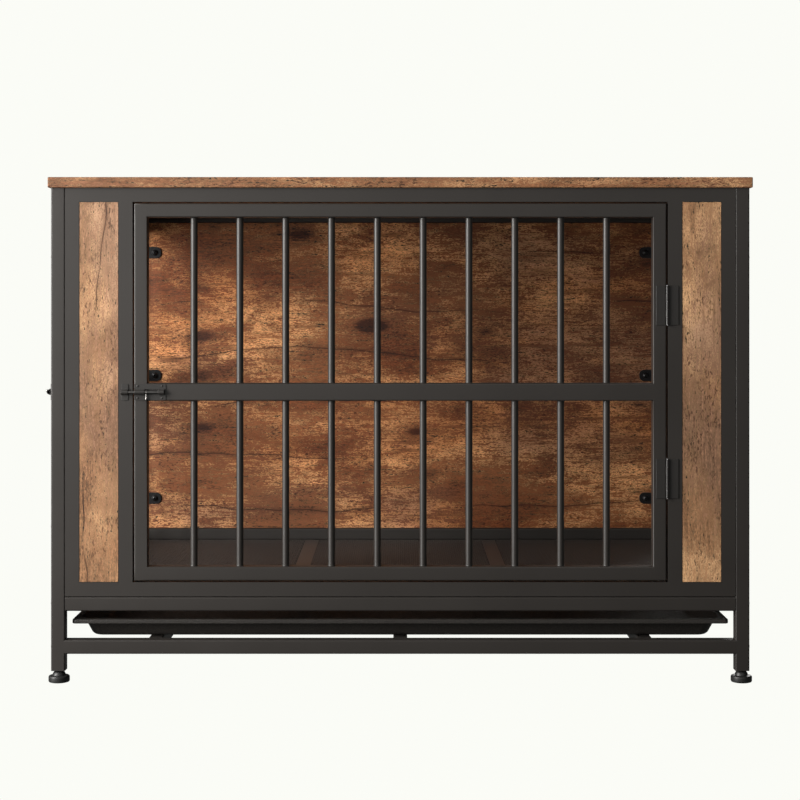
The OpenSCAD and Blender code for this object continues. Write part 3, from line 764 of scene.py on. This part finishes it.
for way in DOORWAYS:
    axis_x = way["width"] / 2 + DOOR_GAP / 2
    centres = (way["foot"] + HINGE_IN, way["head"] - HINGE_IN)
    on_crate, on_door, pins = bmesh.new(), bmesh.new(), bmesh.new()
    for centre in centres:
        hinge_leaf(on_crate, axis_x, centre, 1, 0)
        hinge_leaf(on_door, axis_x, centre, -1, 1)
        hinge_pin(pins, axis_x, centre)
    name = way["name"]
    piece(name + "_hinge_fixed_plates", on_crate, "crate", hardware_coat,
          [name + "_hinge_post_leaves"], way["place"])
    piece(name + "_hinge_moving_plates", on_door, name + "_door", hardware_coat,
          [name + "_hinge_door_leaves"], way["place"])
    piece(name + "_hinge_round_pins", pins, "crate", zinc,
          [name + "_hinge_pins"], way["place"])

# %% [markdown]
# ## Barrel bolts
# The latch is a slide bolt. A plate on the door carries two barrels, the rod slides in them, and
# the rod's end goes into a keeper on the frame. A barrel is a turned ring with two cheeks down
# to the plate, and the plate has a window between the barrels where the handle's collar slides.
# All of it is measured from the door's free edge.

# %% Barrel bolts: plates and barrels
PLATE = (0.5, 45.5)        # the door's plate, from the door's free edge
PLATE_UP = 11.75           # half its height
PLATE_T = 1.0
ROD_OUT = 3.3              # the rod's axis, out from the door's face
ROD = 2.4
BORE = 2.6
LOOP = 3.6                 # outside of a barrel
BARRELS = ((1.3, 16.0), (35.0, 43.7))
KEEPER = (-17.8, -7.8)
WINDOW_UP = 3.8


def barrel(bm, edge_x, x0, x1):
    """A barrel for the rod, from x0 to x1 off the door's free edge."""
    long = x1 - x0
    ring = [(BORE, 0), (LOOP - 0.5, 0), (LOOP, 0.5), (LOOP, long - 0.5), (LOOP - 0.5, long),
            (BORE, long)]
    turned(bm, ring, stand_at(edge_x + x0, -ROD_OUT, mid_z, "X"), steps=32, ring=True)
    for s in (-1, 1):
        low, high = sorted((s * 2.5, s * (LOOP + 0.7)))
        block(bm, (edge_x + x0 + 0.2, -ROD_OUT, mid_z + low),
              (edge_x + x1 - 0.2, -PLATE_T / 2, mid_z + high), 0.5, only="X")


for way in DOORWAYS:
    name, edge_x = way["name"], -way["width"] / 2
    up = (mid_z - PLATE_UP, mid_z + PLATE_UP)
    window = (edge_x + BARRELS[0][1] + 0.1, edge_x + BARRELS[1][0] - 0.1,
              mid_z - WINDOW_UP, mid_z + WINDOW_UP)
    bm = window_plate((edge_x + PLATE[0], edge_x + PLATE[1]), up, (-PLATE_T, 0), [window],
                      0.3, corner=1.5)
    for span in BARRELS:
        barrel(bm, edge_x, *span)
    piece(name + "_latch_body", bm, name + "_door", hardware_coat,
          [name + "_latch_plate"], way["place"])
    bm = window_plate((edge_x + KEEPER[0], edge_x + KEEPER[1]), up, (-PLATE_T, 0), [], 0.3,
                      corner=1.5)
    barrel(bm, edge_x, *KEEPER)
    piece(name + "_keeper_loop", bm, "crate", hardware_coat,
          [name + "_keeper"], way["place"])

# %% [markdown]
# The rod has a rounded nose to find the keeper. Its handle is a collar with a thin arm and a
# ball at the end. The front one hangs, and the side one stands out. The rivets are flat domes.

# %% Barrel bolts: rods, handles and rivets
ROD_ENDS = (-15.0, 41.0)
COLLAR = (16.4, 19.4)
COLLAR_R = 3.1
ARM = 10.0
BALL = 1.8
RIVET_UP = 8.6
RIVET_IN = 4.0

for way in DOORWAYS:
    name, edge_x = way["name"], -way["width"] / 2
    long = ROD_ENDS[1] - ROD_ENDS[0]
    bm = bmesh.new()
    nose = [(0, 0), (1.1, 0.2), (1.8, 0.9), (ROD, 2.0), (ROD, long - 0.5), (ROD - 0.5, long),
            (0, long)]
    turned(bm, nose, stand_at(edge_x + ROD_ENDS[0], -ROD_OUT, mid_z, "X"), steps=28)
    piece(name + "_bolt_round_rod", bm, name + "_bolt", way["rod"],
          [name + "_bolt_rod"], way["place"])

    bm = bmesh.new()
    wide = COLLAR[1] - COLLAR[0]
    ring = [(BORE, 0), (COLLAR_R - 0.4, 0), (COLLAR_R, 0.4), (COLLAR_R, wide - 0.4),
            (COLLAR_R - 0.4, wide), (BORE, wide)]
    turned(bm, ring, stand_at(edge_x + COLLAR[0], -ROD_OUT, mid_z, "X"), steps=28, ring=True)
    ball = [(0, ARM + BALL), (1.0, ARM + 1.5), (1.6, ARM + 0.8), (BALL, ARM), (1.6, ARM - 0.8),
            (1.05, ARM - 1.6), (0.95, 6), (1.15, 2.6), (0, 2.6)]
    hang = Matrix.Rotation(TURN / 2 - way["arm_up"], 4, "X")
    middle = Matrix.Translation((edge_x + sum(COLLAR) / 2, -ROD_OUT, mid_z))
    turned(bm, ball, middle @ hang, steps=20)
    piece(name + "_bolt_ball_handle", bm, name + "_bolt_handle", tip_steel,
          [name + "_bolt_handle"], way["place"])

    bm = bmesh.new()
    dome = [(1.6, 0), (1.5, 0.35), (1.0, 0.75), (0, 0.9)]
    for x in (BARRELS[0][0] + RIVET_IN, BARRELS[1][1] - RIVET_IN):
        for s in (-1, 1):
            turned(bm, [(0, 0), *dome],
                   stand_at(edge_x + x, -PLATE_T, mid_z + s * RIVET_UP, "Y", flip=True), steps=16)
    piece(name + "_latch_dome_rivets", bm, name + "_door", hardware_coat,
          [name + "_latch_rivets"], way["place"])

# %% [markdown]
# ## Boards
# A board's foil wraps over a slightly eased edge. Large flat blocks with a small bevel are all
# that the shape needs; the grain does the rest.

# %% Boards
for node, slot, material, ease in (("top_board", "board", top_finish, 1.4),
                                   ("back_panel", "board", back_board, 0.5),
                                   ("left_strip", "strip_board", strip_board, 0.5),
                                   ("right_strip", "strip_board", strip_board, 0.5)):
    bm = bmesh.new()
    block(bm, *box_mm(node), ease)
    piece(node + "_foiled", bm, "crate", material, [node])

# %% [markdown]
# ## Tabs, straps, bolts and screws
# Small steel tabs hold the boards. The free end of a tab is rounded, and the fixing through it
# is a button-head bolt with a hexagon socket or a screw with a cross. A socket is part of the
# turned head: the inner rings of its profile are pushed in or out until they follow the shape
# of the key, which keeps the head one closed mesh.

# %% Heads with a socket
def hexagon(angle):
    """Distance from the middle of a hexagon to its side, in the given direction."""
    sixth = TURN / 6
    return math.cos(sixth / 2) / math.cos((angle % sixth) - sixth / 2)


def cross(angle, arm=0.2, waist=0.42):
    """The full distance along the four arms of a cross, and the waist between them."""
    quarter = TURN / 4
    off = min(angle % quarter, quarter - angle % quarter)
    return 1.0 if off < arm else waist


def socket_head(bm, place, radius, tall, key, key_shape, shank=0.0, shank_r=0.0):
    """A domed head on the XY plane, with a socket in its crown and a shank behind it."""
    dome = [(radius * math.cos(a), tall * math.sin(a)) for a in (0.15, 0.5, 0.9)]
    floor = tall * 0.25
    profile = [(0, floor), (key, floor), (key, tall * 0.98), *reversed(dome), (radius, 0)]
    profile += [(shank_r, 0), (shank_r, -shank), (0, -shank)] if shank else [(0, 0)]
    made = turned(bm, profile, steps=24)
    for v in made:
        flat = math.hypot(v.co.x, v.co.y)
        if abs(flat - key) < 0.01 and v.co.z > 0:
            shape = key_shape(math.atan2(v.co.y, v.co.x) % TURN)
            v.co.x, v.co.y = v.co.x * shape, v.co.y * shape
    bmesh.ops.transform(bm, matrix=place, verts=made)


FRAME_BOLT = (5.0, 1.5, 1.6, hexagon)      # radius, height, and size and shape of the socket
CLIP_BOLT = (5.5, 4.0, 2.2, hexagon)
PAN_SCREW = (3.8, 2.0, 1.7, cross)

# %% [markdown]
# Eight bolts on each side go through the posts into the threaded ends of the rails and of the
# front and rear frames. Only their domed heads show.

# %% Frame bolts
BOLT_IN = 98.5             # two of the four, in from the ends of the front frame
frame_low, frame_high = box_mm("front_frame")
heights = [(rail[0].z + rail[1].z) / 2 for rail in (ground_rail, floor_rail)]
heights += [frame_low.z + BOLT_IN, frame_high.z - BOLT_IN]
for side, s in (("left", -1), ("right", 1)):
    node = side + "_frame_bolts"
    post = box_mm(side + "_side_frame")
    face = post[0].x if s < 0 else post[1].x
    bm = bmesh.new()
    for y in (post[0].y + TUBE / 2, post[1].y - TUBE / 2):
        for z in heights:
            socket_head(bm, stand_at(face, y, z, "X", flip=s < 0), *FRAME_BOLT)
    piece(node + "_domed", bm, "crate", black_fixings, [node])

# %% [markdown]
# Three steel tabs at each end clamp the back board. Each tab sticks out from the frame's stile
# and a black bolt holds the board to it. The free end is a half round, bevelled in one go.

# %% Back board's tabs and bolts
CLIP_IN = 53.0             # clips, in from the ends of the window
window = around("back_panel", FIT)
clip_heights = (window[2] + CLIP_IN, mid_z, window[3] - CLIP_IN)
tab_low, tab_high = box_mm("back_panel_tabs")
TAB = (33.4, 10.0)         # reach and half height
BOLT_OUT = 22.0            # its bolt, out from the stile

tabs, bolts = bmesh.new(), bmesh.new()
for s in (-1, 1):
    stile = window[1] if s > 0 else window[0]
    for z in clip_heights:
        near, far = sorted((stile - s * 0.1, stile - s * TAB[0]))
        plate(tabs, (near, tab_low.y, z - TAB[1]), (far, tab_high.y, z + TAB[1]), "Y", 8.5,
              free=("X", -s))
        socket_head(bolts, stand_at(stile - s * BOLT_OUT, tab_low.y, z, "Y", flip=True),
                    *CLIP_BOLT, shank=9.0, shank_r=2.5)
piece("back_panel_clip_tabs", tabs, "crate", black_fixings, ["back_panel_tabs"])
piece("back_panel_clip_bolts", bolts, "crate", black_fixings, ["back_panel_bolts"])

# %% [markdown]
# Each narrow board is held from behind by three straps. They reach over both stiles, and a screw
# with a cross goes through the middle of each strap into the board.

# %% Straps behind the narrow boards
strap_low, strap_high = box_mm("strip_straps")
straps, screws = bmesh.new(), bmesh.new()
for node in ("left_strip", "right_strip"):
    low, high = box_mm(node)
    middle = (low.x + high.x) / 2
    half = (high.x - low.x) / 2 + FIT + TUBE / 2
    for z in clip_heights:
        plate(straps, (middle - half, strap_low.y, z - TAB[1]),
              (middle + half, strap_high.y, z + TAB[1]), "Y", 3.0)
        socket_head(screws, stand_at(middle, strap_high.y, z, "Y"), *PAN_SCREW,
                    shank=12.0, shank_r=2.0)
piece("strip_strap_plates", straps, "crate", powder_coat, ["strip_straps"])
piece("strip_pan_screws", screws, "crate", zinc, ["strip_screws"])

# %% [markdown]
# The top board rests on the frame. Six tabs, welded to the rails on the inside, take a screw
# each from below: two at the front, two at the rear, and one at each side.

# %% Tabs under the top board
low, high = box_mm("top_board_tabs")
TOP_TAB = (36.0, 18.0)     # width and reach
TOP_TAB_X = 300.0          # the front and rear ones, out from the middle
places = [(x, s * (high.y - TOP_TAB[1] / 2), TOP_TAB, ("Y", -s))
          for x in (-TOP_TAB_X, TOP_TAB_X) for s in (-1, 1)]
places += [(s * (high.x - TOP_TAB[1] / 2), 0.0, TOP_TAB[::-1], ("X", -s)) for s in (-1, 1)]
tabs, screws = bmesh.new(), bmesh.new()
for x, y, (wide, deep), free in places:
    plate(tabs, (x - wide / 2, y - deep / 2, low.z), (x + wide / 2, y + deep / 2, high.z), "Z",
          5.0, free)
    socket_head(screws, stand_at(x, y, low.z, flip=True), *PAN_SCREW, shank=11.0, shank_r=2.0)
piece("top_board_flat_tabs", tabs, "crate", powder_coat, ["top_board_tabs"])
piece("top_board_pan_screws", screws, "crate", zinc, ["top_board_screws"])

# %% [markdown]
# ## Perforated floor
# The floor is thin steel sheet with a close pattern of holes in three fields, and plain bands
# over the cross bars. More than ten thousand holes are too many to cut one by one. One hexagonal
# cell with a hexagonal hole is made instead, Array modifiers lay it out, and Solidify gives the
# sheet its thickness. The walls of the holes get a near-black colour: painted shade in the holes.
# Each field is a piece of its own, to keep the meshes a handy size, and a plain plate with
# windows frames them and hides their ragged rims.

# %% Perforated floor
HOLE_PITCH = 7.0           # from the middle of one hole to the next
HOLE_RIB = 1.25            # half of the metal between two holes
BAND = (143.0, 167.0)      # the plain bands, left and right of the middle
MARGIN = 14.0              # plain rim of the sheet
SINK = 0.1                 # the fields, in from both faces of the plate
low, high = box_mm("floor_sheet")
fields = [(low.x + MARGIN, -BAND[1]), (-BAND[0], BAND[0]), (BAND[1], high.x - MARGIN)]
span_y = (low.y + MARGIN, high.y - MARGIN)

bm = window_plate((low.x, high.x), (-high.y, -low.y), (low.z, high.z),
                  [(x0, x1, -span_y[1], -span_y[0]) for x0, x1 in fields], 0.15)
LAY_FLAT = Matrix(((1, 0, 0, 0), (0, 0, -1, 0), (0, 1, 0, 0), (0, 0, 0, 1)))
piece("floor_sheet_border", bm, "crate", sheet_coat_painted_lit, ["floor_sheet"], LAY_FLAT)


def hole_field(name, x0, x1, y0, y1, z0, z1):
    """A field of hexagonal holes that just overlaps the plate round it."""
    row = HOLE_PITCH * math.sqrt(3) / 2
    across = math.ceil((x1 - x0) / HOLE_PITCH)
    rows = math.ceil((y1 - y0) / (2 * row))
    bm = bmesh.new()
    bmesh.ops.create_circle(bm, cap_ends=True, radius=HOLE_PITCH / math.sqrt(3), segments=6)
    bmesh.ops.inset_individual(bm, faces=bm.faces[:], thickness=HOLE_RIB)
    holes = [f for f in bm.faces if f.calc_center_median().xy.length < 0.1]
    bmesh.ops.delete(bm, geom=holes, context="FACES")
    start = ((x0 + x1 - (across - 0.5) * HOLE_PITCH) / 2, (y0 + y1 - (2 * rows - 1) * row) / 2,
             z0 + SINK)
    bmesh.ops.translate(bm, verts=bm.verts, vec=start)
    made = piece(name, bm, "crate", sheet_coat_painted_lit, ["floor_sheet"])
    made.modifiers.clear()
    for count, way in ((2, (HOLE_PITCH / 2, row, 0)), (across, (HOLE_PITCH, 0, 0)),
                       (rows, (0, 2 * row, 0))):
        array = made.modifiers.new("Lay out", "ARRAY")
        array.count = count
        array.use_relative_offset = False
        array.use_constant_offset = True
        array.constant_offset_displace = Vector(way) * MM
    shell = made.modifiers.new("Sheet", "SOLIDIFY")
    shell.thickness = (z1 - z0 - 2 * SINK) * MM
    shell.offset = 1
    # The hole walls take the second material, the painted shade.
    shell.material_offset_rim = 1
    made.data.materials.append(hole_walls_painted_shade)
    print(f"{name}: {2 * across * rows} holes")


for i, (x0, x1) in enumerate(fields):
    hole_field(f"floor_sheet_holes_{i + 1}", x0, x1, *span_y, low.z, high.z)

# %% [markdown]
# ## Tray
# The tray is formed from one sheet: a rim with a rolled lip, walls that lean in, and a wide bend
# into the floor. It is drawn as a stack of rounded rectangles. The first is a circle whose four
# quarters are pushed out to the corners. Extruding it and moving the copy to its own inset,
# corner and height gives the next, and so the skin grows up the outside, over the rim, and down
# again inside. Bridging separate rings could twist where two of them lie at one height.

# %% Tray
RIM = 12.0                 # width of the rim
FLOOR_CORNER = 10.0        # radius of the floor's corners, seen from above
LIP = 6.5                  # drop of the lip
SHEET = 2.2                # thickness of the plastic
LEAN = math.radians(24)    # walls, out from upright
BEND = 10.0                # radius where the walls turn into the floor
low, high = box_mm("tray")
half_x, half_y = (high.x - low.x) / 2, (high.y - low.y) / 2
middle_y = (high.y + low.y) / 2
bend_turn = TURN / 4 - LEAN
wall_out = (BEND * math.sin(bend_turn)
            + (high.z - low.z - BEND * (1 - math.cos(bend_turn))) * math.tan(LEAN))


def first_ring(bm, inset, corner, z, quarter=7):
    """A rounded rectangle, in from the rim's edge by inset, as a ring of edges."""
    segments = 4 * quarter
    half_step = TURN / segments / 2
    made = bmesh.ops.create_circle(bm, radius=corner / math.cos(half_step), segments=segments,
                                   matrix=Matrix.Rotation(half_step, 4, "Z"))["verts"]
    for v in made:
        v.co.x += math.copysign(half_x - inset - corner, v.co.x)
        v.co.y += math.copysign(half_y - inset - corner, v.co.y) + middle_y
        v.co.z = z
    return list({e for v in made for e in v.link_edges})


def next_ring(bm, ring, old, new):
    """Extrude the ring and move the copy to its own inset, corner radius and height."""
    fresh = bmesh.ops.extrude_edge_only(bm, edges=ring)["geom"]
    for v in (g for g in fresh if isinstance(g, bmesh.types.BMVert)):
        for axis, half, mid in ((0, half_x, 0.0), (1, half_y, middle_y)):
            side = math.copysign(1, v.co[axis] - mid)
            from_corner = v.co[axis] - mid - side * (half - old[0] - old[1])
            v.co[axis] = mid + side * (half - new[0] - new[1]) + from_corner * new[1] / old[1]
        v.co.z = new[2]
    return [g for g in fresh if isinstance(g, bmesh.types.BMEdge)]


def bend_rings(thickness, steps=6):
    """(inset, corner, z) up the bend, from the flat floor, for the outer or the inner skin."""
    r = BEND - thickness
    angles = [bend_turn * i / steps for i in range(steps + 1)]
    return [(RIM + wall_out - r * math.sin(a), FLOOR_CORNER + r * math.sin(a),
             low.z + BEND - r * math.cos(a)) for a in angles]


skin = bend_rings(0) + [
    (RIM + 1.6, 19, high.z - SHEET - 1.2), (RIM - 0.6, 18, high.z - SHEET),
    (SHEET + 0.8, 9, high.z - SHEET), (SHEET, 6, high.z - SHEET - 0.9),
    (SHEET, 4, high.z - LIP + 0.4), (SHEET - 0.4, 4, high.z - LIP),
    (0.5, 5.5, high.z - LIP), (0, 6, high.z - LIP + 0.5), (0, 6, high.z - 2.2),
    (0.35, 6, high.z - 1.0), (1.1, 7, high.z - 0.3), (2.3, 8, high.z),
    (RIM - 2.2, 17, high.z), (RIM - 0.9, 18, high.z - 0.4), (RIM + 0.35, 19, high.z - 1.6),
] + bend_rings(SHEET)[::-1]
bm = bmesh.new()
ring = first_ring(bm, *skin[0])
bmesh.ops.contextual_create(bm, geom=ring)
for old, new in zip(skin, skin[1:]):
    ring = next_ring(bm, ring, old, new)
bmesh.ops.contextual_create(bm, geom=ring)
piece("tray_formed", bm, "tray", tray_plastic, ["tray"])
print("tray floor:", round(2 * (half_x - RIM - wall_out)), "mm wide")

# %% [markdown]
# ## Levelling feet
# A foot is a hard rubber disc with a domed neck, moulded round a threaded stud. The stud screws
# into the plug in the post. Its thread is turned as plain ridges: from outside they look the
# same as a helix, and the mesh stays closed and small.

# %% Feet
PITCH = 1.25               # of the stud's thread
disc = [(0, 0), (12.8, 0), (14.2, 0.45), (15, 1.6), (15, 7.3), (14.6, 8.5), (13.7, 9.2),
        (12.4, 9.5)]
neck = [(9.4 * math.cos(a), 9.5 + 8.2 * math.sin(a)) for a in (0.03, 0.25, 0.5, 0.75, 0.95)]
for corner in ("front_left", "front_right", "rear_left", "rear_right"):
    low, high = box_mm(corner + "_stud")
    x, y = (low.x + high.x) / 2, (low.y + high.y) / 2
    bm = bmesh.new()
    turned(bm, disc + neck + [(4.4, 16.75), (0, 16.75)], stand_at(x, y, 0), steps=40)
    piece(corner + "_foot_disc", bm, corner + "_foot", foot_rubber,
          [corner + "_foot"])
    bm = bmesh.new()
    top = high.z - low.z
    ridges = int((top - 1) / PITCH)
    thread = [point for i in range(ridges)
              for point in ((3.4, i * PITCH + 0.5), (4.0, (i + 0.5) * PITCH + 0.5))]
    turned(bm, [(0, 0), (3.2, 0), *thread, (3.2, top), (0, top)], stand_at(x, y, low.z), steps=16)
    piece(corner + "_stud_threaded", bm, corner + "_foot", zinc,
          [corner + "_stud"])

# %% [markdown]
# Two kinds of part are all but hidden, and their CAD shape is right as it is: the threaded
# blocks in the ends of the rails and the plugs in the posts. They keep their mesh and get a
# finish.

# %% Finishes for the CAD parts that stay
for node, material in (("rail_end_nuts", zinc), ("foot_plugs", foot_rubber)):
    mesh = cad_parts[node].data
    mesh.materials.clear()
    mesh.materials.append(material)
print("new pieces:", len(pieces_made))

# %% [markdown]
# ## Studio
# The crate stands in a white sweep: floor and backdrop in one curved sheet, so no horizon
# shows. The sheet glows evenly towards the camera and lights the crate only a little, as a lit
# paper background does.

# %% Sweep
PAPER = (0.965, 0.973, 0.925, 1)
SWEEP_HALF = 12.0          # metres, like the rest of the studio
SWEEP_TALL = 14.0
SWEEP_FOLD = 4.0           # radius where the floor turns up
PAPER_GLOW = 0.11          # what the crate gets of it; the camera sees 1
SKY_GLOW = 0.07            # the same for the sky


def glow(name, seen, given_off):
    """A surface that the camera sees at one strength and the crate at another."""
    owner = bpy.data.materials.new(name)
    owner.use_nodes = True
    tree = owner.node_tree
    tree.nodes.clear()
    ray = add(tree, "LightPath").outputs["Is Camera Ray"]
    strength = add(tree, "MapRange", {"Value": ray, "To Min": given_off, "To Max": seen})
    light = add(tree, "Emission", {"Color": PAPER, "Strength": strength.outputs[0]})
    tree.links.new(light.outputs[0], add(tree, "OutputMaterial").inputs["Surface"])
    return owner


bm = bmesh.new()
bmesh.ops.create_grid(bm, x_segments=1, y_segments=1, size=SWEEP_HALF)
back_edge = [e for e in bm.edges if all(v.co.y > SWEEP_HALF - 0.1 for v in e.verts)]
lifted = bmesh.ops.extrude_edge_only(bm, edges=back_edge)["geom"]
bmesh.ops.translate(bm, verts=[g for g in lifted if isinstance(g, bmesh.types.BMVert)],
                    vec=(0, 0, SWEEP_TALL))
fold = [e for e in bm.edges if len(e.link_faces) == 2]
round_off(bm, fold, SWEEP_FOLD, 12)
sweep_mesh = bpy.data.meshes.new("studio_sweep")
bm.to_mesh(sweep_mesh)
bm.free()
sweep_mesh.materials.append(glow("Lit paper", 1.0, PAPER_GLOW))
sweep = bpy.data.objects.new("studio_sweep", sweep_mesh)
bpy.context.scene.collection.objects.link(sweep)

# %% [markdown]
# The light comes from the left, as from a tall window: one soft box high, one low, both well to
# the side, so that each bar has one bright edge and one dark, and the inside is lit through the
# side door. Two weak boxes in front fill the shadows, and one behind lights the back board for
# views from the rear. The sky is a dim, even white.

# %% Lights and sky
AIM = Vector((0.0, -0.1, 0.36))


def softbox(name, around_deg, up_deg, distance, size, watts):
    """A square soft light, placed by its direction from the crate and aimed at it."""
    side, up = math.radians(around_deg), math.radians(up_deg)
    way = Vector((math.sin(side) * math.cos(up), -math.cos(side) * math.cos(up), math.sin(up)))
    data = bpy.data.lights.new(name, "AREA")
    data.size = size
    data.energy = watts
    data.color = (1.0, 0.985, 0.96)
    made = bpy.data.objects.new(name, data)
    made.location = AIM + way * distance
    made.rotation_euler = (-way).to_track_quat("-Z", "Y").to_euler()
    bpy.context.scene.collection.objects.link(made)


softbox("high_left_light", -62, 28, 2.8, 1.2, 84)
softbox("low_left_light", -58, 7, 2.8, 1.2, 98)
softbox("front_fill", -14, 8, 3.4, 1.2, 8)
softbox("right_fill", 28, 25, 3.0, 1.2, 6)
softbox("rear_light", 160, 24, 3.2, 1.2, 45)

sky = bpy.data.worlds.new("Studio sky")
bpy.context.scene.world = sky
sky.use_nodes = True
sky_tree = sky.node_tree
ray = add(sky_tree, "LightPath").outputs["Is Camera Ray"]
sky_strength = add(sky_tree, "MapRange", {"Value": ray, "To Min": SKY_GLOW, "To Max": 1.0})
background = sky_tree.nodes["Background"]
background.inputs["Color"].default_value = PAPER
sky_tree.links.new(sky_strength.outputs[0], background.inputs["Strength"])
bpy.context.scene.view_settings.view_transform = "Standard"

# %% [markdown]
# The camera looks level at the crate from the front, a little above its middle. Its frame is
# shifted down instead of tilting it, which keeps every upright exactly upright.

# %% Camera
eye = bpy.data.cameras.new("front_camera")
eye.lens = 79.58
eye.sensor_width = 36.0
eye.shift_x = -0.0003
eye.shift_y = -0.1156
camera = bpy.data.objects.new("front_camera", eye)
camera.location = (0.0, -2.826, 0.533)
camera.rotation_euler = (TURN / 4, 0, 0)
bpy.context.scene.collection.objects.link(camera)
bpy.context.scene.camera = camera
